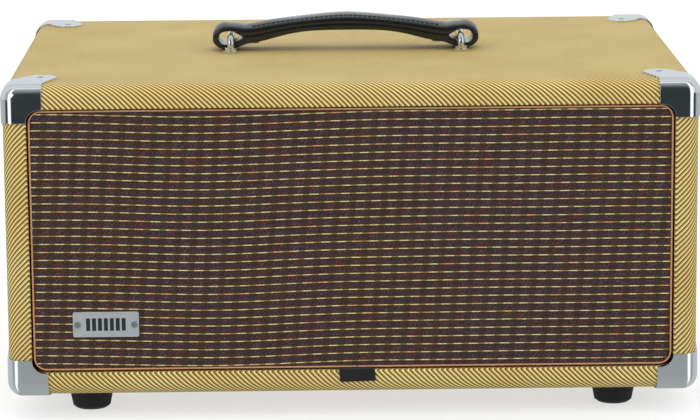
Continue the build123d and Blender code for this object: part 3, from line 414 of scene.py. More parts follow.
@dataclass(frozen=True)
class GrainedLeather(Finish):
    """Black finished hide: small rounded grain cells with a worn, glossier crown."""

    cell: float = 0.9 * MM
    crease: float = 6.25 * MM
    rub: float = 33.3333 * MM
    relief: float = 0.2 * MM

    def constants(self) -> Inputs:
        """Dyed hide under a thin wax finish."""
        return {"Metallic": 0.0, "Coat Weight": 0.25, "Coat Roughness": 0.2, "Specular IOR Level": 0.5}

    def pattern(self, tree: bpy.types.NodeTree, place: Socket) -> Inputs:
        """Grain cells, creases and rubbed patches."""
        cells = add_node(tree, "TexVoronoi", {"Vector": place, "Scale": 1 / self.cell}, out="Distance")
        crease = add_node(tree, "TexNoise", {"Vector": place, "Scale": 1 / self.crease, "Detail": 5.0})
        rub = add_node(tree, "TexNoise", {"Vector": place, "Scale": 1 / self.rub, "Detail": 3.0})
        colour = add_node(tree, "ValToRGB", {0: rub}, stops=[(0.3, self.colour), (0.75, "#15181a")])
        gloss = [(0.3, self.roughness), (0.7, self.roughness - 0.08)]
        rough = add_node(tree, "ValToRGB", {0: rub}, stops=gloss)
        height = add_node(tree, "Math", {0: crease, 1: 0.8, 2: cells}, operation="MULTIPLY_ADD")
        bump = add_node(tree, "Bump", {"Height": height, "Strength": 0.2, "Distance": self.relief})
        return {"Base Color": colour, "Roughness": rough, "Normal": bump}


@dataclass(frozen=True)
class SpunThread(Finish):
    """Spun or braided thread: tiny slanting fibres, matt all over."""

    fibre: float = 0.5 * MM
    dark: str = "#000000"
    relief: float = 0.15 * MM

    def constants(self) -> Inputs:
        """Fibres scatter light, so there is sheen and little gloss."""
        return {"Roughness": self.roughness, "Specular IOR Level": 0.3, "Sheen Weight": 0.1}

    def pattern(self, tree: bpy.types.NodeTree, place: Socket) -> Inputs:
        """Light and dark fibres with a little relief."""
        fibres = add_node(tree, "TexNoise", {"Vector": place, "Scale": 1 / self.fibre, "Detail": 2.0})
        colour = add_node(tree, "ValToRGB", {0: fibres}, stops=[(0.3, self.dark), (0.62, self.colour)])
        bump = add_node(tree, "Bump", {"Height": fibres, "Strength": 0.5, "Distance": self.relief})
        return {"Base Color": colour, "Normal": bump}


@dataclass(frozen=True)
class BirchPly(Finish):
    """Sanded birch plywood: a pale face with a long fine grain."""

    ring: float = 5 * MM
    pore: float = 0.384615 * MM

    def pattern(self, tree: bpy.types.NodeTree, place: Socket) -> Inputs:
        """Growth rings drawn out along the board, and pores."""
        drawn = add_node(tree, "VectorMath", {0: place, 1: (0.06, 1.0, 1.0)}, operation="MULTIPLY")
        wavy = {"Vector": drawn, "Scale": 1 / self.ring, "Detail": 5.0, "Distortion": 0.6}
        rings = add_node(tree, "TexNoise", wavy)
        browns = [(0.3, "#b58f5c"), (0.5, "#d0ac78"), (0.7, "#dcbd8c")]
        colour = add_node(tree, "ValToRGB", {0: rings}, stops=browns)
        pores = add_node(tree, "TexNoise", {"Vector": drawn, "Scale": 1 / self.pore, "Detail": 1.0})
        bump = add_node(tree, "Bump", {"Height": pores, "Strength": 0.2, "Distance": 0.1 * MM})
        return {"Base Color": colour, "Normal": bump}


@dataclass(frozen=True)
class ZincPlate(Finish):
    """Zinc-plated sheet steel with the soft flake that plating leaves."""

    flake: float = 3.5 * MM

    def pattern(self, tree: bpy.types.NodeTree, place: Socket) -> Inputs:
        """Flakes of slightly different tone and gloss."""
        flakes = add_node(tree, "TexVoronoi", {"Vector": place, "Scale": 1 / self.flake}, out="Color")
        grey = add_node(tree, "RGBToBW", {0: flakes})
        colour = add_node(tree, "ValToRGB", {0: grey}, stops=[(0.2, "#989da0"), (0.8, "#b9bdbe")])
        rough = add_node(tree, "ValToRGB", {0: grey}, stops=[(0.2, 0.3), (0.8, 0.45)])
        return {"Base Color": colour, "Roughness": rough}


@dataclass(frozen=True)
class ClearGlass(Finish):
    """Blown glass, or a cast and tinted jewel: clear, smooth and faintly streaked."""

    transmission: float = 1.0
    index: float = 1.5
    wave: float = 20 * MM
    relief: float = 1 * MM

    def constants(self) -> Inputs:
        """A dielectric that lets light through."""
        return super().constants() | {"Transmission Weight": self.transmission, "IOR": self.index}

    def pattern(self, tree: bpy.types.NodeTree, place: Socket) -> Inputs:
        """Slow waves left by the blowing."""
        waves = add_node(tree, "TexNoise", {"Vector": place, "Scale": 1 / self.wave, "Detail": 1.0})
        bump = add_node(tree, "Bump", {"Height": waves, "Strength": 0.05, "Distance": self.relief})
        return {"Normal": bump}


# ---------------------------------------------------------------- making and dressing meshes
def mesh_piece(
    name: str, points: Sequence[Point], faces: Sequence[Sequence[int]], smooth: bool = True
) -> bpy.types.Object:
    """Makes a mesh object in the shared frame.

    Args:
        name: The piece's name.
        points: Its vertices, in metres.
        faces: Its faces, each a list of vertex numbers.
        smooth: Whether its faces are shaded smooth.

    Returns:
        The new object, linked to the scene.
    """
    mesh = bpy.data.meshes.new(name)
    mesh.from_pydata(points, [], faces)
    mesh.validate()
    mesh.polygons.foreach_set("use_smooth", [smooth] * len(mesh.polygons))
    piece = bpy.data.objects.new(name, mesh)
    bpy.context.scene.collection.objects.link(piece)
    return piece


def settle(piece: bpy.types.Object) -> None:
    """Applies a piece's modifiers to its mesh."""
    bpy.context.view_layer.update()
    graph = bpy.context.evaluated_depsgraph_get()
    mesh = bpy.data.meshes.new_from_object(piece.evaluated_get(graph))
    piece.modifiers.clear()
    piece.data = mesh


def dress(names: Iterable[str], finish: Finish) -> None:
    """Gives frame nodes one finish.

    Args:
        names: The nodes.
        finish: What they are finished in.
    """
    material = finish.build()
    for name in names:
        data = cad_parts[name].data
        data.materials.clear()
        data.materials.append(material)
        LOG.info("node %s in %s", name, finish.name)


def finish_piece(piece: bpy.types.Object, finish: Finish, body: str) -> bpy.types.Object:
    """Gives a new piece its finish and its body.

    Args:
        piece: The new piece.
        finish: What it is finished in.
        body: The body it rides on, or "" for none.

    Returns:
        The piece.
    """
    piece.data.materials.clear()
    piece.data.materials.append(finish.build())
    if body:
        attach(piece, body)
    LOG.info("piece %s: %d faces", piece.name, len(piece.data.polygons))
    return piece


def grid_faces(rows: int, columns: int, start: int = 0, closed: bool = False) -> list[tuple[int, ...]]:
    """Quads of a grid of vertices stored row by row.

    Args:
        rows: The number of rows.
        columns: The number of vertices in a row.
        start: The number of the first vertex.
        closed: Whether each row is a ring.

    Returns:
        The faces.
    """
    faces = []
    for r in range(rows - 1):
        for c in range(columns if closed else columns - 1):
            a, b = start + r * columns + c, start + r * columns + (c + 1) % columns
            faces.append((a, b, b + columns, a + columns))
    return faces


def boxes(sizes: Iterable[tuple[Point, Point]], turns: Iterable[Matrix] | None = None) -> tuple[list, list]:
    """Vertices and faces of boxes with chamfered edges.

    Args:
        sizes: Each box's lowest and highest corner.
        turns: What each box is moved by, where given.

    Returns:
        The vertices and the faces.
    """
    points, faces = [], []
    moves = list(turns or [])
    for k, (lowest, highest) in enumerate(sizes):
        shape = bmesh.new()
        bmesh.ops.create_cube(shape, size=1.0)
        low, high = Vector(lowest), Vector(highest)
        for vertex in shape.verts:
            vertex.co = low + Vector([(vertex.co[i] + 0.5) * (high[i] - low[i]) for i in range(3)])
        edge = min(high - low) * 0.25
        bmesh.ops.bevel(shape, geom=shape.edges[:], offset=edge, segments=2, profile=0.5, affect="EDGES")
        if moves:
            bmesh.ops.transform(shape, matrix=moves[k], verts=shape.verts[:])
        shape.verts.index_update()
        start = len(points)
        points += [tuple(v.co) for v in shape.verts]
        faces += [[start + v.index for v in face.verts] for face in shape.faces]
        shape.free()
    return points, faces


def turned(profile: Sequence[tuple[float, float]], centre: Point, count: int = 32) -> tuple[list, list]:
    """Vertices and faces of a shape turned about an upright axis.

    Args:
        profile: Radius and height of each ring, from the bottom up, closed at both ends.
        centre: Where the axis meets height zero.
        count: How many vertices a ring has.

    Returns:
        The vertices and the faces.
    """
    points = [
        (
            centre[0] + radius * math.cos(2 * math.pi * k / count),
            centre[1] + radius * math.sin(2 * math.pi * k / count),
            centre[2] + height,
        )
        for radius, height in profile
        for k in range(count)
    ]
    faces = grid_faces(len(profile), count, closed=True)
    faces.append(tuple(reversed(range(count))))
    faces.append(tuple(range(len(points) - count, len(points))))
    return points, faces


def together(parts: Iterable[tuple[list, list]]) -> tuple[list, list]:
    """Joins several lists of vertices and faces into one."""
    points, faces = [], []
    for more_points, more_faces in parts:
        start = len(points)
        points += more_points
        faces += [[start + k for k in face] for face in more_faces]
    return points, faces


# ---------------------------------------------------------------- cabinet
@dataclass
class Cabinet:
    """The plywood box, its tweed covering, black front frame, back panel and guard."""

    cover_width: float = 1.663
    cover_length: float = 0.48

    def build(self) -> None:
        """Dresses the cabinet's nodes."""
        tweed = LacqueredTweed("lacquered tweed")
        dress(["tweed_covering"], tweed)
        # one flat cloth: with the middle far below it, no turn of the stripes crosses the panel
        dress(["back_panel"], LacqueredTweed("lacquered tweed panel", middle=-10.0))
        dress(
            ["top_board", "bottom_board", "left_board", "right_board", "rail_battens"],
            BirchPly("sanded birch plywood", roughness=0.6),
        )
        dress(["front_frame"], Moulded("black lacquer", "#121213", 0.42, coat=0.2))
        dress(["vent_guard"], Moulded("black enamelled steel guard", "#191a1b", 0.4, coat=0.3))


@dataclass
class Hardware:
    """Plated corners, feet and screws."""

    def build(self) -> None:
        """Dresses the metal and the rubber outside the cabinet."""
        chrome = Polished("bright chrome plate", "#e4e6e8", 0.06, 1.0, edge=0.7 * MM)
        dress(["front_corners", "rear_corners"], chrome)
        screws = ["corner_screws", "back_panel_screws", "rack_screws", "rail_screws", "foot_screws"]
        dress(
            [*screws, "staple_nuts"],
            Polished("nickel-plated screw steel", "#9a9da0", 0.22, 1.0, mark=5 * MM),
        )
        dress(["rubber_feet"], Moulded("moulded black rubber", "#0f0f10", 0.7, pit_depth=0.2 * MM))


# ---------------------------------------------------------------- handle
@dataclass
class CarryHandle:
    """A moulded leather grip over a steel band, sewn along both edges and held by two staples."""

    voxel: float = 0.9 * MM
    high: float = 280 * MM
    arch: float = 86 * MM  # from the middle of the grip to where its arch ends
    seam: float = 0.58  # how far up the grip's side the seam is
    reach: float = 82 * MM  # how far the stitching runs each way
    middle_x: float = -1.6 * MM
    row: float = 11.6 * MM  # from the middle of the strap to a row of stitches
    stitch_pitch: float = 4.2 * MM
    stitch_length: float = 3.1 * MM
    stitch_radius: float = 0.55 * MM
    groove_depth: float = 0.55 * MM
    groove_width: float = 0.9 * MM
    seam_width: float = 0.7 * MM

    def grip(self) -> bpy.types.Object:
        """Makes the leather grip from the frame's own, softened, with grooves for its seams."""
        piece = bpy.data.objects.new("leather_grip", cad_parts["handle_strap"].data.copy())
        bpy.context.scene.collection.objects.link(piece)
        remesh = piece.modifiers.new("even skin", "REMESH")
        remesh.mode = "VOXEL"
        remesh.voxel_size = self.voxel
        remesh.use_smooth_shade = True
        soften = piece.modifiers.new("soft edges", "SMOOTH")
        soften.factor = 0.5
        soften.iterations = 4
        settle(piece)
        # all normals are read before any vertex moves, because a move makes them all be worked out again
        skin = [(vertex, vertex.co.copy(), vertex.normal.copy()) for vertex in piece.data.vertices]
        for vertex, (x, y, z), normal in skin:
            past = self.reach + 2 * MM - abs(x - self.middle_x)
            ends = min(1.0, max(0.0, past / (3 * MM)))
            up = max(0.0, normal.z)
            down = max(0.0, -normal.z)
            sewn = math.exp(-(((abs(y) - self.row) / self.groove_width) ** 2)) * (up + 0.6 * down)
            welt = math.exp(-(((z - self.seam_level(x)) / self.seam_width) ** 2)) * normal.y**2
            vertex.co -= normal * self.groove_depth * (sewn * ends + 0.7 * welt)
        piece.data.polygons.foreach_set("use_smooth", [True] * len(piece.data.polygons))
        piece.data.update()
        return piece

    def seam_level(self, x: float) -> float:
        """How high the seam between the grip's two hides is at a distance along it."""
        share = min(1.0, abs(x - self.middle_x) / self.arch)
        # the grip's lower and upper outlines, in millimetres over the cabinet's highest face
        under = 7.2 + 10.8 * (1 + math.cos(math.pi * share**1.8)) / 2
        edge = 19 + 9.8 * (1 - share**1.6)
        return self.high + ((1 - self.seam) * under + self.seam * edge) * MM

    def stitches(self, grip: bpy.types.Object) -> bpy.types.Object:
        """Makes two rows of thread stitches that lie in the grooves.

        Args:
            grip: The leather that they are sewn into.

        Returns:
            The stitches as one piece.
        """
        graph = bpy.context.evaluated_depsgraph_get()
        tree = BVHTree.FromObject(grip, graph)
        shapes = []
        count = int(2 * self.reach / self.stitch_pitch)
        for y in (-self.row, self.row):
            for k in range(count):
                x = self.middle_x + (k - (count - 1) / 2) * self.stitch_pitch
                ends = []
                for shift in (-0.5, 0.5):
                    above = Vector((x + shift * self.stitch_length, y, self.high + 60 * MM))
                    hit, normal, _, _ = tree.ray_cast(above, Vector((0, 0, -1)))
                    ends.append(hit + normal * 0.25 * MM)
                shapes.append(self.stitch(*ends))
        return mesh_piece("grip_stitches", *together(shapes))

    def stitch(self, start: Vector, end: Vector) -> tuple[list, list]:
        """One stitch: a short bowed thread that dives at both ends.

        Args:
            start: Where it comes up.
            end: Where it goes down.

        Returns:
            Its vertices and faces.
        """
        count, rings = 8, 9
        along = (end - start).normalized()
        side = along.cross(Vector((0, 0, 1))).normalized()
        rise = side.cross(along)
        points = []
        for r in range(rings):
            share = r / (rings - 1)
            bow = math.sin(math.pi * share)
            middle = start.lerp(end, share) + rise * (0.5 * bow - 0.25) * MM
            radius = self.stitch_radius * max(0.35, bow**0.5)
            for k in range(count):
                turn = 2 * math.pi * k / count
                points.append(tuple(middle + (side * math.cos(turn) + rise * math.sin(turn)) * radius))
        faces = grid_faces(rings, count, closed=True)
        faces.append(tuple(reversed(range(count))))
        faces.append(tuple(range(len(points) - count, len(points))))
        return points, faces

    def build(self) -> None:
        """Makes and dresses the handle."""
        grip = self.grip()
        stitches = self.stitches(grip)
        leather = GrainedLeather("black grained leather", "#0a0c0d", 0.27)
        finish_piece(grip, leather, Body.HANDLE.value)
        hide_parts("handle_strap")
        thread = SpunThread("waxed black thread", "#26282a", 0.55, fibre=0.4 * MM)
        finish_piece(stitches, thread, Body.HANDLE.value)
        dress(["handle_spring"], Polished("blued spring steel", "#6c7076", 0.3, 1.0))
        dress(["handle_staples", "staple_ferrules"], Polished("bright plated staple", "#cfd1d4", 0.07, 1.0))
        dress(["handle_rivets"], Polished("bright rivets", "#a9abad", 0.2, 1.0))


# ---------------------------------------------------------------- grille cover
@dataclass
class GrilleCover:
    """The pull-off cover: board, stretched cloth, piped edge, badge, tab and fastening pads."""

    welt_half: float = 264.05 * MM
    welt_low: float = 41.9 * MM
    welt_high: float = 258.9 * MM
    welt_corner: float = 10.0 * MM
    welt_radius: float = 1.0 * MM
    cord_radius: float = 0.8 * MM
    front: float = -202.1 * MM
    back: float = -190.9 * MM
    fold: float = 15.0 * MM
    rib_pitch: float = 6.75 * MM
    dash_pitch: float = 12.9 * MM
    rib_relief: float = 0.32 * MM
    cloth_thickness: float = 0.45 * MM
    columns_per_dash: int = 5
    sag: float = 3.4
    sag_middle: float = -119 * MM
    sag_width: float = 85 * MM
    joint_x: float = 3.0 * MM
    joint_gap: float = 0.6 * MM
    twist_pitch: float = 5.2 * MM
    badge_middle: tuple[float, float] = (-204.3 * MM, 80.2 * MM)
    badge_front: float = -203.3 * MM
    badge_bars: int = 7
    bar_pitch: float = 4.9 * MM
    bar_half: tuple[float, float] = (1.65 * MM, 5.3 * MM)

    def row_shift(self, x: float, level: float) -> float:
        """How far a rib wanders up or down at a place, as stretched cloth does."""
        sag = self.sag * math.exp(-(((x - self.sag_middle) / self.sag_width) ** 2))
        ripple = 0.12 * math.sin(x / 0.023 + level / 0.04) + 0.1 * math.sin(level / 0.021 + x / 0.13)
        return (ripple - sag - 0.6 * x) * MM

    def inside(self, x: float, z: float) -> tuple[float, float]:
        """Brings a point outside the cloth's rounded outline back onto it.

        Args:
            x: Its place across.
            z: Its height.

        Returns:
            The point, moved only if it was outside.
        """
        half = self.welt_half - self.welt_radius
        low, high = self.welt_low + self.welt_radius, self.welt_high - self.welt_radius
        radius = self.welt_corner - self.welt_radius
        x, z = max(-half, min(half, x)), max(low, min(high, z))
        middle_x = math.copysign(half - radius, x)
        middle_z = low + radius if z < (low + high) / 2 else high - radius
        past_x, past_z = abs(x) - abs(middle_x), (z - middle_z) * (1 if z > (low + high) / 2 else -1)
        away = math.hypot(past_x, past_z)
        if past_x > 0 and past_z > 0 and away > radius:
            x = middle_x + math.copysign(past_x, x) * radius / away
            z = middle_z + (z - middle_z) * radius / away
        return x, z

    def cloth(self) -> bpy.types.Object:
        """Makes the grille cloth with its raised ribs, turned round the board's edge."""
        half = self.welt_half - self.welt_radius
        step = self.dash_pitch / self.columns_per_dash
        columns = math.ceil(2 * half / step) + 1
        low_row = math.floor(self.welt_low / self.rib_pitch) - 1
        high_row = math.ceil(self.welt_high / self.rib_pitch) + 1
        # across one rib pitch: how far up each line of vertices is, and how far it stands out
        rising = ((0.5, 0.1), (0.7, 0.0), (0.87, 0.12), (0.94, 0.8))
        shares = ((0.0, 1.0), (0.06, 0.8), (0.13, 0.12), (0.3, 0.0), *rising)
        shape = bmesh.new()
        place = shape.verts.layers.float_vector.new("weave_place")
        rows = []
        for row in range(low_row, high_row):
            for share, rise in shares:
                level = (row + share) * self.rib_pitch
                line = []
                for column in range(columns):
                    x = -half + column * 2 * half / (columns - 1)
                    flat_x, flat_z = self.inside(x, level + self.row_shift(x, level))
                    vertex = shape.verts.new((flat_x, self.front - rise * self.rib_relief, flat_z))
                    woven_level = (flat_z - self.row_shift(flat_x, level)) / self.rib_pitch
                    vertex[place] = Vector((flat_x / self.dash_pitch, woven_level, 0.0))
                    line.append(vertex)
                rows.append(line)
        for lower, upper in zip(rows, rows[1:]):
            for k in range(columns - 1):
                shape.faces.new((lower[k], lower[k + 1], upper[k + 1], upper[k]))
        bmesh.ops.remove_doubles(shape, verts=shape.verts[:], dist=0.08 * MM)
        bmesh.ops.dissolve_degenerate(shape, dist=0.02 * MM, edges=shape.edges[:])
        loose = [v for v in shape.verts if not v.link_faces]
        bmesh.ops.delete(shape, geom=loose, context="VERTS")
        self.turn_back(shape)
        mesh = bpy.data.meshes.new("grille_cloth_weave")
        shape.to_mesh(mesh)
        shape.free()
        piece = bpy.data.objects.new("grille_cloth_weave", mesh)
        bpy.context.scene.collection.objects.link(piece)
        mesh.polygons.foreach_set("use_smooth", [True] * len(mesh.polygons))
        solid = piece.modifiers.new("cloth thickness", "SOLIDIFY")
        solid.thickness = self.cloth_thickness
        solid.offset = -1.0
        settle(piece)
        return piece

    def turn_back(self, shape: bmesh.types.BMesh) -> None:
        """Carries the cloth's edge back along the board and in behind it.

        Args:
            shape: The cloth's front, whose border is extended.
        """
        low, high = self.welt_low + self.welt_radius, self.welt_high - self.welt_radius
        half = self.welt_half - self.welt_radius
        inner = self.fold

        def straight_back(point: Vector) -> Vector:
            """Moves a point on the edge to the board's back."""
            return Vector((point.x, self.back, point.z))

        def folded_in(point: Vector) -> Vector:
            """Moves a point at the board's back towards its middle."""
            x = max(-half + inner, min(half - inner, point.x))
            return Vector((x, self.back, max(low + inner, min(high - inner, point.z))))

        place = shape.verts.layers.float_vector["weave_place"]
        shape.verts.index_update()
        loops = [edge.link_loops[0] for edge in shape.edges if edge.is_boundary]
        rim = [(loop.vert, loop.link_loop_next.vert) for loop in loops]
        rim.sort(key=lambda pair: (pair[0].index, pair[1].index))
        for move in (straight_back, folded_in):
            made = {}
            for corner in [vertex for pair in rim for vertex in pair]:
                if corner not in made:
                    made[corner] = shape.verts.new(move(corner.co))
                    made[corner][place] = corner[place]
            for start, end in rim:
                shape.faces.new((end, start, made[start], made[end]))
            rim = [(made[start], made[end]) for start, end in rim]
        bmesh.ops.remove_doubles(shape, verts=shape.verts[:], dist=0.05 * MM)
        bmesh.ops.recalc_face_normals(shape, faces=shape.faces[:])
        front = max(shape.faces, key=lambda face: -face.calc_center_median().y)
        if front.normal.y > 0:
            bmesh.ops.reverse_faces(shape, faces=shape.faces[:])

    def outline(self, share: float, inset: float) -> tuple[Vector, Vector]:
        """A point on the cover's rounded outline, and the way out from it.

        Args:
            share: How far round, from 0 to 1, from the joint under the tab.
            inset: How far inside the piping's middle line.

        Returns:
            The point and the outward direction, as (x, z).
        """
        half_x = self.welt_half - self.welt_corner
        half_z = (self.welt_high - self.welt_low) / 2 - self.welt_corner
        middle_z = (self.welt_high + self.welt_low) / 2
        arc = math.pi / 2 * self.welt_corner
        gone = share * (4 * (half_x + half_z) + 4 * arc) + self.joint_x
        legs = (
            (half_x, (0, -1)),
            (2 * half_z, (1, 0)),
            (2 * half_x, (0, 1)),
            (2 * half_z, (-1, 0)),
            (half_x + 1.0, (0, -1)),
        )
        centres = ((1, -1), (1, 1), (-1, 1), (-1, -1))
        reach = self.welt_corner - inset
        corner = Vector((0.0, middle_z - half_z))
        for k, (length, out) in enumerate(legs):
            outward = Vector(out)
            heading = Vector((-outward.y, outward.x))
            if gone <= length:
                return corner + heading * gone + outward * reach, outward
            gone -= length
            centre = Vector((centres[k][0] * half_x, middle_z + centres[k][1] * half_z))
            if gone <= arc:
                turn = gone / arc * math.pi / 2
                outward = outward * math.cos(turn) + heading * math.sin(turn)
                return centre + outward * reach, outward
            gone -= arc
            corner = centre
        return corner, Vector((0.0, -1.0))

    def piping(self) -> bpy.types.Object:
        """Makes the twisted two-ply piping and the tape that holds it to the cover's edge."""
        around = 4 * (self.welt_half + (self.welt_high - self.welt_low) / 2) - 1.72 * self.welt_corner
        rings, count = int(around / (1.1 * MM)), 10
        gap = self.joint_gap / around / 2
        points = []
        for r in range(rings):
            share = gap + (1 - 2 * gap) * r / (rings - 1)
            centre, out = self.outline(share, self.welt_radius - self.cord_radius)
            for k in range(count):
                turn = 2 * math.pi * k / count
                ply = 0.06 * math.cos(2 * turn - 2 * math.pi * share * around / self.twist_pitch)
                radius = self.cord_radius * (0.95 + ply)
                flat = centre + out * radius * math.cos(turn)
                points.append((flat.x, self.front - radius * math.sin(turn), flat.y))
        faces = grid_faces(rings, count, closed=True)
        faces.append(tuple(range(count)))
        faces.append(tuple(reversed(range(len(points) - count, len(points)))))
        tape_points = []
        for r in range(rings // 2):
            share = gap + (1 - 2 * gap) * r / (rings // 2 - 1)
            corners = ((0.95, 0.4), (0.6, 0.4), (0.6, 9.0), (0.95, 9.0))
            for inset, deep in corners:
                flat, _ = self.outline(share, inset * MM)
                tape_points.append((flat.x, self.front + deep * MM, flat.y))
        tape_faces = grid_faces(rings // 2, 4, closed=True)
        tape_faces += [(0, 1, 2, 3), tuple(reversed(range(len(tape_points) - 4, len(tape_points))))]
        return mesh_piece("edge_piping", *together([(points, faces), (tape_points, tape_faces)]))

    def badge_inlay(self) -> bpy.types.Object:
        """Makes a plain row of dark enamel bars across the middle of the badge."""
        x, z = self.badge_middle
        wide, tall = self.bar_half
        sizes = []
        for k in range(self.badge_bars):
            middle = x + (k - (self.badge_bars - 1) / 2) * self.bar_pitch
            low = (middle - wide, self.badge_front - 0.12 * MM, z - tall)
            sizes.append((low, (middle + wide, self.badge_front + 0.1 * MM, z + tall)))
        return mesh_piece("badge_inlay", *boxes(sizes), smooth=False)

    def build(self) -> None:
        """Makes and dresses the cover."""
        weave = GrilleWeave("woven grille cloth")
        cloth = finish_piece(self.cloth(), weave, Body.COVER.value)
        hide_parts("grille_cloth")
        cord = SpunThread("tan cotton piping", "#bd8a64", 0.6, fibre=0.6 * MM, dark="#8a5a3a")
        piping = finish_piece(self.piping(), cord, Body.COVER.value)
        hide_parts("grille_piping")
        dress(["grille_panel"], BirchPly("sanded birch plywood cover", roughness=0.6))
        dress(["badge_plate"], Brushed("brushed silver plate", "#e1e4e6", 0.42, 0.85))
        enamel = Moulded("dark badge enamel", "#1d2224", 0.35, coat=0.3)
        finish_piece(self.badge_inlay(), enamel, Body.COVER.value)
        dress(["badge_screws"], Polished("badge screw steel", "#c4c8ca", 0.2, 1.0, mark=3.33333 * MM))
        tape = SpunThread("black hook and loop tape", "#26262a", 0.9, fibre=0.6 * MM)
        dress(["hook_pads", "loop_pads"], tape)


@dataclass
class PullTab:
    """A strip of black webbing fixed under the cover, whose end hangs over the cabinet's edge."""

    middle: float = 3.0 * MM
    half_width: float = 14.8 * MM
    thickness: float = 0.85 * MM
    skew: float = 1.1 * MM
    hinge_level: float = 40.3 * MM
    columns: int = 60
    rib_pitch: float = 1.45 * MM
    rib_depth: float = 0.11 * MM
    hanging: float = 10.6 * MM
    station: float = 0.45 * MM

    def route(self) -> list[tuple[float, float]]:
        """The strip's middle line, as (y, z), from under the cover to the hanging end."""
        line = [
            (-192.6, 42.7),
            (-198.6, 42.7),
            (-201.2, 40.35),
            (-204.9, 40.3),
            (-205.85, 39.9),
            (-205.85, 29.9),
        ]
        for _ in range(3):
            cut = [line[0]]
            for (a_y, a_z), (b_y, b_z) in zip(line, line[1:]):
                cut.append((0.75 * a_y + 0.25 * b_y, 0.75 * a_z + 0.25 * b_z))
                cut.append((0.25 * a_y + 0.75 * b_y, 0.25 * a_z + 0.75 * b_z))
            line = [*cut, line[-1]]
        return [(y * MM, z * MM) for y, z in line]

    def strip(self) -> bpy.types.Object:
        """Makes the ribbed webbing as one closed skin."""
        line = self.route()
        stations = [line[0]]
        for (a_y, a_z), (b_y, b_z) in zip(line, line[1:]):
            steps = max(1, round(math.hypot(b_y - a_y, b_z - a_z) / self.station))
            for k in range(1, steps + 1):
                stations.append((a_y + (b_y - a_y) * k / steps, a_z + (b_z - a_z) * k / steps))
        count = len(stations)
        points: list[Point] = []
        gone = 0.0
        for r, (y, z) in enumerate(stations):
            before, after = stations[max(0, r - 1)], stations[min(count - 1, r + 1)]
            run = Vector((after[0] - before[0], after[1] - before[1])).normalized()
            gone += math.hypot(y - stations[max(0, r - 1)][0], z - stations[max(0, r - 1)][1])
            below = max(0.0, (self.hinge_level - z) / self.hanging)
            shift = self.skew * below
            for face in (1, -1):
                for k in range(self.columns):
                    share = k / (self.columns - 1)
                    across = (2 * share - 1) * self.half_width
                    weave = 0.25 * math.sin(gone / (0.5 * MM))
                    ply = math.sin(2 * math.pi * (across / self.rib_pitch + weave))
                    hem = 0.55 if k in (0, self.columns - 1) else 1.0
                    thick = (self.thickness / 2 + self.rib_depth * ply * 0.5) * hem
                    droop = 0.7 * MM * share * below
                    points.append(
                        (
                            self.middle + across + shift,
                            y - run.y * thick * face,
                            z + run.x * thick * face + droop,
                        )
                    )
        faces = []
        width = self.columns
        for r in range(count - 1):
            for k in range(width - 1):
                a = r * 2 * width + k
                b = a + 2 * width
                faces.append((a, a + 1, b + 1, b))
                faces.append((a + width, b + width, b + width + 1, a + width + 1))
            left, right = r * 2 * width, r * 2 * width + width - 1
            faces.append((left, left + 2 * width, left + 3 * width, left + width))
            faces.append((right, right + width, right + 3 * width, right + 2 * width))
        for start, flip in ((0, False), ((count - 1) * 2 * width, True)):
            for k in range(width - 1):
                quad = (start + k, start + width + k, start + width + k + 1, start + k + 1)
                faces.append(tuple(reversed(quad)) if flip else quad)
        return mesh_piece("tab_webbing", points, faces)

    def build(self) -> None:
        """Makes and dresses the tab, which rides on no body."""
        strip = self.strip()
        webbing = SpunThread("black polyester webbing", "#1b1b1d", 0.62, fibre=0.5 * MM, dark="#08080a")
        finish_piece(strip, webbing, "")
        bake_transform(strip)
        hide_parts("pull_tab", "tab_root")


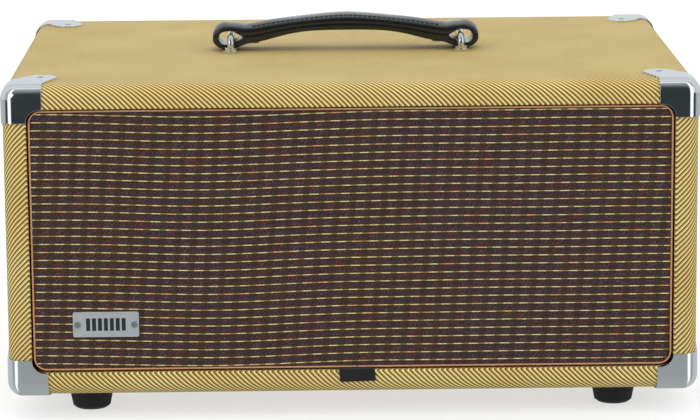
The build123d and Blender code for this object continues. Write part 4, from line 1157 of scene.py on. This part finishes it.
# ---------------------------------------------------------------- controls and chassis
@dataclass
class ControlPanel:
    """The rack panel behind the cover, with its knobs, switches, lamp and jacks."""

    panel_front: float = -172.0 * MM
    control_level: float = 95.0 * MM
    knob_face: float = -186.3 * MM
    pitch: float = 60.0 * MM
    names: tuple[str, ...] = ("volume", "treble", "bass", "presence", "master")
    sweep: float = 150.0
    tick_count: int = 11
    tick_inner: float = 17.2 * MM

    def centres(self) -> list[tuple[str, float]]:
        """Each knob's name and place along the panel."""
        middle = (len(self.names) - 1) / 2
        return [(name, (k - middle) * self.pitch) for k, name in enumerate(self.names)]

    def dial_marks(self) -> bpy.types.Object:
        """Makes the printed ticks round the knobs, longer at the ends and in the middle."""
        sizes, turns = [], []
        for _, x in self.centres():
            for k in range(self.tick_count):
                angle = math.radians(-self.sweep + 2 * self.sweep * k / (self.tick_count - 1))
                long = k in (0, self.tick_count // 2, self.tick_count - 1)
                top = self.tick_inner + (3.2 if long else 2.0) * MM
                sizes.append(((-0.35 * MM, -0.12 * MM, self.tick_inner), (0.35 * MM, 0.02 * MM, top)))
                centre = Matrix.Translation((x, self.panel_front, self.control_level))
                turns.append(centre @ Matrix.Rotation(angle, 4, "Y"))
        return mesh_piece("dial_marks", *boxes(sizes, turns), smooth=False)

    def build(self) -> None:
        """Makes the marks and dresses the panel and everything on it."""
        dress(["front_panel"], Moulded("dark brown panel enamel", "#2a1d18", 0.3, coat=0.4, unevenness=0.9))
        bakelite = Moulded("black bakelite knob", "#141211", 0.24, coat=0.3)
        dress([f"{name}_knob" for name in self.names], bakelite)
        lever = Polished("nickel bat lever", "#c4beb2", 0.12, 1.0)
        dress(["standby_toggle", "power_toggle", "toggle_bodies"], lever)
        dress(["pilot_bezel", "jack_sockets"], Polished("nickel bush", "#bdb8ad", 0.18, 1.0))
        dress(["pilot_jewel"], ClearGlass("cut red jewel", "#c41414", 0.05, transmission=0.7))
        dress(["rack_rails"], ZincPlate("zinc-plated rack rail", metallic=1.0))
        paint = Moulded("cream marking paint", "#e6dfc8", 0.5, unevenness=0.92)
        finish_piece(self.dial_marks(), paint, Body.CABINET.value)
        for name, x in self.centres():
            start = (x - 0.5 * MM, self.knob_face + 0.15 * MM, self.control_level + 2.3 * MM)
            end = (x + 0.5 * MM, self.knob_face + 0.68 * MM, self.control_level + 10.6 * MM)
            pointer = mesh_piece(f"{name}_pointer", *boxes([(start, end)]), smooth=False)
            finish_piece(pointer, paint, f"{name}_control")


@dataclass(frozen=True)
class Valve:
    """One valve's place and sizes."""

    x: float
    y: float
    radius: float
    height: float
    power: bool


@dataclass
class Chassis:
    """The steel tray with its valves, transformers, capacitors, board and rear sockets."""

    foot: float = 129.0 * MM

    def valves(self) -> list[Valve]:
        """The three small valves and the two output valves."""
        small = [Valve(x * MM, -95 * MM, 10.6 * MM, 50 * MM, False) for x in (-165, -125, -85)]
        return small + [Valve(x * MM, 5 * MM, 19 * MM, 92 * MM, True) for x in (-20, 40)]

    def electrodes(self) -> tuple[tuple[list, list], tuple[list, list], tuple[list, list]]:
        """The grey plates, the pale mica discs and the silver flash inside the glass."""
        plates, micas, flashes = [], [], []
        for valve in self.valves():
            under, over = (0.24, 0.76) if valve.power else (0.16, 0.66)
            low, high = self.foot + valve.height * under, self.foot + valve.height * over
            wide, deep = valve.radius * 0.6, valve.radius * 0.34
            plates.append(((valve.x - wide, valve.y - deep, low), (valve.x + wide, valve.y + deep, high)))
            for side in (-1, 1):
                fin = valve.radius * 0.72
                edge = sorted((valve.x + side * wide, valve.x + side * fin))
                start = (edge[0], valve.y - 0.5 * MM, low + 2 * MM)
                plates.append((start, (edge[1], valve.y + 0.5 * MM, high - 2 * MM)))
            for level in (low - 1.2 * MM, high + 0.4 * MM):
                disc = [(valve.radius * 0.82, 0.0), (valve.radius * 0.82, 0.8 * MM)]
                micas.append(turned(disc, (valve.x, valve.y, level)))
            top = self.foot + valve.height
            bowl = [
                (valve.radius * 0.93 * math.cos(a), valve.radius * 0.93 * math.sin(a))
                for a in [math.radians(angle) for angle in (20, 35, 50, 65, 80)]
            ]
            rim = (bowl[0][0] * 0.96, bowl[0][1] * 0.96)
            flashes.append(turned([rim, *bowl], (valve.x, valve.y, top - valve.radius)))
        return boxes(plates), together(micas), together(flashes)

    def sleeves(self) -> bpy.types.Object:
        """The moulded bases round the feet of the output valves."""
        ring = [(17.3, 0.1), (17.5, 0.9), (17.5, 12.6), (17.2, 13.6), (16.6, 13.9)]
        profile = [(radius * MM, height * MM) for radius, height in ring]
        shapes = [turned(profile, (v.x, v.y, self.foot), 48) for v in self.valves() if v.power]
        return mesh_piece("valve_bases", *together(shapes))

    def build(self) -> None:
        """Makes the valves' insides and dresses the whole chassis."""
        dress(["chassis_tray"], ZincPlate("zinc-plated tray steel", metallic=1.0))
        brown = Moulded("brown moulded socket", "#2e1d14", 0.35, coat=0.2)
        dress(["preamp_sockets", "power_sockets"], brown)
        plastic = Moulded("black moulded plastic", "#111112", 0.35)
        dress(["mains_inlet", "fuse_holder", "fuse_cap"], plastic)
        glass = ClearGlass("blown valve glass", "#f4f7f6", 0.02)
        dress(["preamp_valves", "power_valves", "fuse_tube"], glass)
        enamel = Moulded(
            "black transformer enamel", "#1a1b1d", 0.32, pit_spacing=3 * MM, pit_depth=0.4 * MM, coat=0.5
        )
        dress(["power_transformer", "output_transformer", "filter_choke"], enamel)
        can = Brushed("spun aluminium can", "#c6c8ca", 0.3, 1.0, along=Direction.UP)
        dress(["filter_capacitors"], can)
        dress(["circuit_board"], Moulded("green fibre board", "#27503a", 0.45, pit_spacing=1.2 * MM))
        dress(["potentiometers"], ZincPlate("plated control case", metallic=1.0, flake=1.5 * MM))
        plates, micas, flashes = self.electrodes()
        made = (
            ("valve_plates", plates, Moulded("carbonised valve plate", "#3a3c3e", 0.55), "spring_steel"),
            ("valve_micas", micas, Moulded("pale mica", "#d9d4c4", 0.3, unevenness=0.9), "bakelite"),
            ("valve_flash", flashes, Polished("silvered getter flash", "#8d9196", 0.08, 1.0), "nickel"),
        )
        for name, shape, finish, slot in made:
            finish_piece(mesh_piece(name, *shape), finish, Body.CABINET.value)
        base = Moulded("black valve base", "#131211", 0.28, coat=0.25)
        finish_piece(self.sleeves(), base, Body.CABINET.value)


# ---------------------------------------------------------------- studio
@dataclass
class Studio:
    """A plain pale floor, a bright even room, one soft key light and the camera."""

    camera_place: Point = (-0.03646, -2.84337, 0.68527)
    pitch: float = 0.19108
    yaw: float = 0.01321
    roll: float = -0.00815
    lens: float = 168.12
    floor_half: float = 30.0
    tent_radius: float = 4.5
    key_watts: float = 7.0
    fill_watts: float = 3.0
    aim: Point = (0.0, 0.0, 0.15)
    world_strength: float = 2.0

    def camera(self) -> None:
        """Sets up the camera a little above the cabinet, in front of it."""
        data = bpy.data.cameras.new("camera")
        data.lens = self.lens
        data.sensor_width = 36.0
        data.sensor_fit = "HORIZONTAL"
        data.clip_start, data.clip_end = 0.05, 100.0
        forward = Vector(
            (
                math.sin(self.yaw) * math.cos(self.pitch),
                math.cos(self.yaw) * math.cos(self.pitch),
                -math.sin(self.pitch),
            )
        )
        right = Vector((math.cos(self.yaw), -math.sin(self.yaw), 0.0))
        up = right.cross(forward)
        level = right * math.cos(self.roll) + up * math.sin(self.roll)
        upright = up * math.cos(self.roll) - right * math.sin(self.roll)
        turn = Matrix((level, upright, -forward)).transposed()
        camera = bpy.data.objects.new("camera", data)
        bpy.context.scene.collection.objects.link(camera)
        camera.matrix_world = Matrix.Translation(self.camera_place) @ turn.to_4x4()
        bpy.context.scene.camera = camera

    def room(self) -> None:
        """A world that is brightest overhead."""
        world = bpy.data.worlds.new("studio room")
        bpy.context.scene.world = world
        world.use_nodes = True
        tree = world.node_tree
        tree.nodes.clear()
        direction = add_node(tree, "TexCoord", out="Generated")
        height = add_node(tree, "SeparateXYZ", {0: direction}).node.outputs[2]
        tone = add_node(tree, "ValToRGB", {0: height}, stops=[(0.0, 0.6), (0.9, 1.0), (0.35, 0.72)])
        light = add_node(tree, "Background", {"Color": tone, "Strength": self.world_strength})
        add_node(tree, "OutputWorld", {"Surface": light})

    def light(self, name: str, place: Point, size: float, watts: float) -> None:
        """Adds one square soft light that faces the cabinet.

        Args:
            name: Its name.
            place: Where it stands.
            size: Its width.
            watts: Its power.
        """
        data = bpy.data.lights.new(name, "AREA")
        data.size = size
        data.energy = watts
        lamp = bpy.data.objects.new(name, data)
        bpy.context.scene.collection.objects.link(lamp)
        lamp.location = place
        facing = Vector(self.aim) - Vector(place)
        lamp.rotation_euler = facing.to_track_quat("-Z", "Y").to_euler()

    def flat(self, name: str, x: float, y: tuple[float, float], z: float) -> bpy.types.Object:
        """A level sheet for the floor or a card on it.

        Args:
            name: Its name.
            x: Half its width.
            y: Where it starts and ends, front to back.
            z: Its height.

        Returns:
            The sheet.
        """
        points = [(-x, y[0], z), (x, y[0], z), (x, y[1], z), (-x, y[1], z)]
        sheet = mesh_piece(name, points, [(0, 1, 2, 3)], smooth=False)
        return sheet

    def tent(self) -> bpy.types.Object:
        """A round tent over the set, from the floor to overhead."""
        rings, count = 24, 48
        points: list[Point] = []
        for r in range(rings):
            rise = math.pi / 2 * r / rings
            for k in range(count):
                turn = 2 * math.pi * k / count
                wide, high = self.tent_radius * math.cos(rise), self.tent_radius * math.sin(rise)
                points.append((wide * math.cos(turn), wide * math.sin(turn), high))
        faces = grid_faces(rings, count, closed=True)
        faces.append(tuple(range(len(points) - count, len(points))))
        return mesh_piece("reflection_tent", points, faces)

    def build(self) -> None:
        """Makes the camera, the room, the floor and the lights."""
        self.camera()
        self.room()
        floor = self.flat("floor", self.floor_half, (-self.floor_half, self.floor_half), 0.0)
        floor.data.materials.append(LitFloor("pale studio floor", "#8e8e8e", 0.9).build())
        # a tent and a card that only gloss sees, as a studio sets them up round chrome to give it edges
        tent = self.tent()
        tent.data.materials.append(TentGlow("graded reflection tent", radius=self.tent_radius).build())
        card = self.flat("reflection_card", self.tent_radius, (-self.tent_radius, self.tent_radius), 2 * MM)
        card.data.materials.append(CardGlow("graded reflection card").build())
        for sheet in (tent, card):
            for ray in ("camera", "diffuse", "transmission", "shadow", "volume_scatter"):
                setattr(sheet, f"visible_{ray}", False)
        self.light("key_light", (-1.7, -2.3, 1.5), 1.0, self.key_watts)
        self.light("fill_light", (2.2, -1.4, 1.1), 1.4, self.fill_watts)


@dataclass(frozen=True)
class LitFloor(Finish):
    """A matt white floor lit evenly from below, as a light table is."""

    def constants(self) -> Inputs:
        """Half of its light is its own."""
        return super().constants() | {"Emission Color": "#ffffff", "Emission Strength": 0.62}


@dataclass(frozen=True)
class Glow(Finish):
    """Studio card and cloth whose own grey is all that gloss sees of it."""

    corner_x: float = 286 * MM
    corner_y: float = 205 * MM

    def constants(self) -> Inputs:
        """A black surface with light of its own."""
        matt: Inputs = {"Base Color": "#000000", "Roughness": 1.0, "Specular IOR Level": 0.0}
        return matt | {"Emission Strength": 1.35}

    def strips(self, tree: bpy.types.NodeTree, place: Socket, grey: Socket) -> Socket:
        """Adds a tall white strip at each side in front, and paler wings, as the front corners see them.

        Args:
            tree: The material's node tree.
            place: The point on the surface.
            grey: The colour without the strips.

        Returns:
            The colour with them.
        """
        x, y, _ = add_node(tree, "SeparateXYZ", {0: place}).node.outputs
        aside = add_node(tree, "Math", {0: x}, operation="ABSOLUTE")
        aside = add_node(tree, "Math", {0: aside, 1: self.corner_x}, operation="SUBTRACT")
        aside = add_node(tree, "Math", {0: aside, 1: 0.0}, operation="MAXIMUM")
        ahead = add_node(tree, "Math", {0: y, 1: -1.0, 2: -self.corner_y}, operation="MULTIPLY_ADD")
        ahead = add_node(tree, "Math", {0: ahead, 1: 0.0}, operation="MAXIMUM")
        both = add_node(tree, "Math", {0: aside, 1: ahead}, operation="ADD")
        share = add_node(tree, "Math", {0: aside, 1: both}, operation="DIVIDE")
        wing = add_node(tree, "ValToRGB", {0: share}, stops=[(0.76, 0.0), (1.0, 0.8)])
        edges = [(0.37, 0.0), (0.42, 1.0), (0.58, 1.0), (0.64, 0.0)]
        strip = add_node(tree, "ValToRGB", {0: share}, stops=edges)
        grey = add_node(tree, "Mix", {0: wing, 6: grey, 7: "#b6bbbd"}, 2, data_type="RGBA")
        return add_node(tree, "Mix", {0: strip, 6: grey, 7: "#ffffff"}, 2, data_type="RGBA")


@dataclass(frozen=True)
class TentGlow(Glow):
    """Tent cloth that is dark in front, paler overhead and white low down behind."""

    radius: float = 4.5

    def pattern(self, tree: bpy.types.NodeTree, place: Socket) -> Inputs:
        """The grey, by how far the cloth is from front to back."""
        back = add_node(tree, "SeparateXYZ", {0: place}).node.outputs[1]
        reach = {"Value": back, "From Min": -self.radius, "From Max": self.radius}
        share = add_node(tree, "MapRange", reach)
        grey = add_node(
            tree,
            "ValToRGB",
            {0: share},
            stops=[
                (0.12, "#2c3234"),
                (0.36, "#9ea3a5"),
                (0.5, "#b4b8ba"),
                (0.56, "#ffffff"),
                (0.66, "#ffffff"),
                (0.7, "#8f9496"),
                (0.8, "#e4e8ea"),
            ],
        )
        return {"Emission Color": self.strips(tree, place, grey)}


@dataclass(frozen=True)
class CardGlow(Glow):
    """Card on the floor that goes from mid grey near the cabinet to near black away from it."""

    def pattern(self, tree: bpy.types.NodeTree, place: Socket) -> Inputs:
        """The grey, by distance from the cabinet's sides."""
        away = []
        for axis, half in ((0, self.corner_x), (1, self.corner_y)):
            level = add_node(tree, "SeparateXYZ", {0: place}).node.outputs[axis]
            level = add_node(tree, "Math", {0: level}, operation="ABSOLUTE")
            away.append(add_node(tree, "Math", {0: level, 1: half}, operation="SUBTRACT"))
        distance = add_node(tree, "Math", {0: away[0], 1: away[1]}, operation="MAXIMUM")
        grey = add_node(
            tree, "ValToRGB", {0: distance}, stops=[(0.0, "#969b9c"), (0.3, "#858b8c"), (0.95, "#2c3234")]
        )
        return {"Emission Color": self.strips(tree, place, grey)}


def main() -> None:
    """Builds the studio and every sub-assembly in order."""
    logging.basicConfig(level=logging.INFO, format="%(name)s: %(message)s")
    bpy.context.scene.view_settings.view_transform = "Standard"
    outside = (Studio(), Cabinet(), Hardware(), CarryHandle(), GrilleCover(), PullTab())
    for part in (*outside, ControlPanel(), Chassis()):
        part.build()
        LOG.info("built %s", type(part).__name__)


if __name__ == "__main__":
    main()
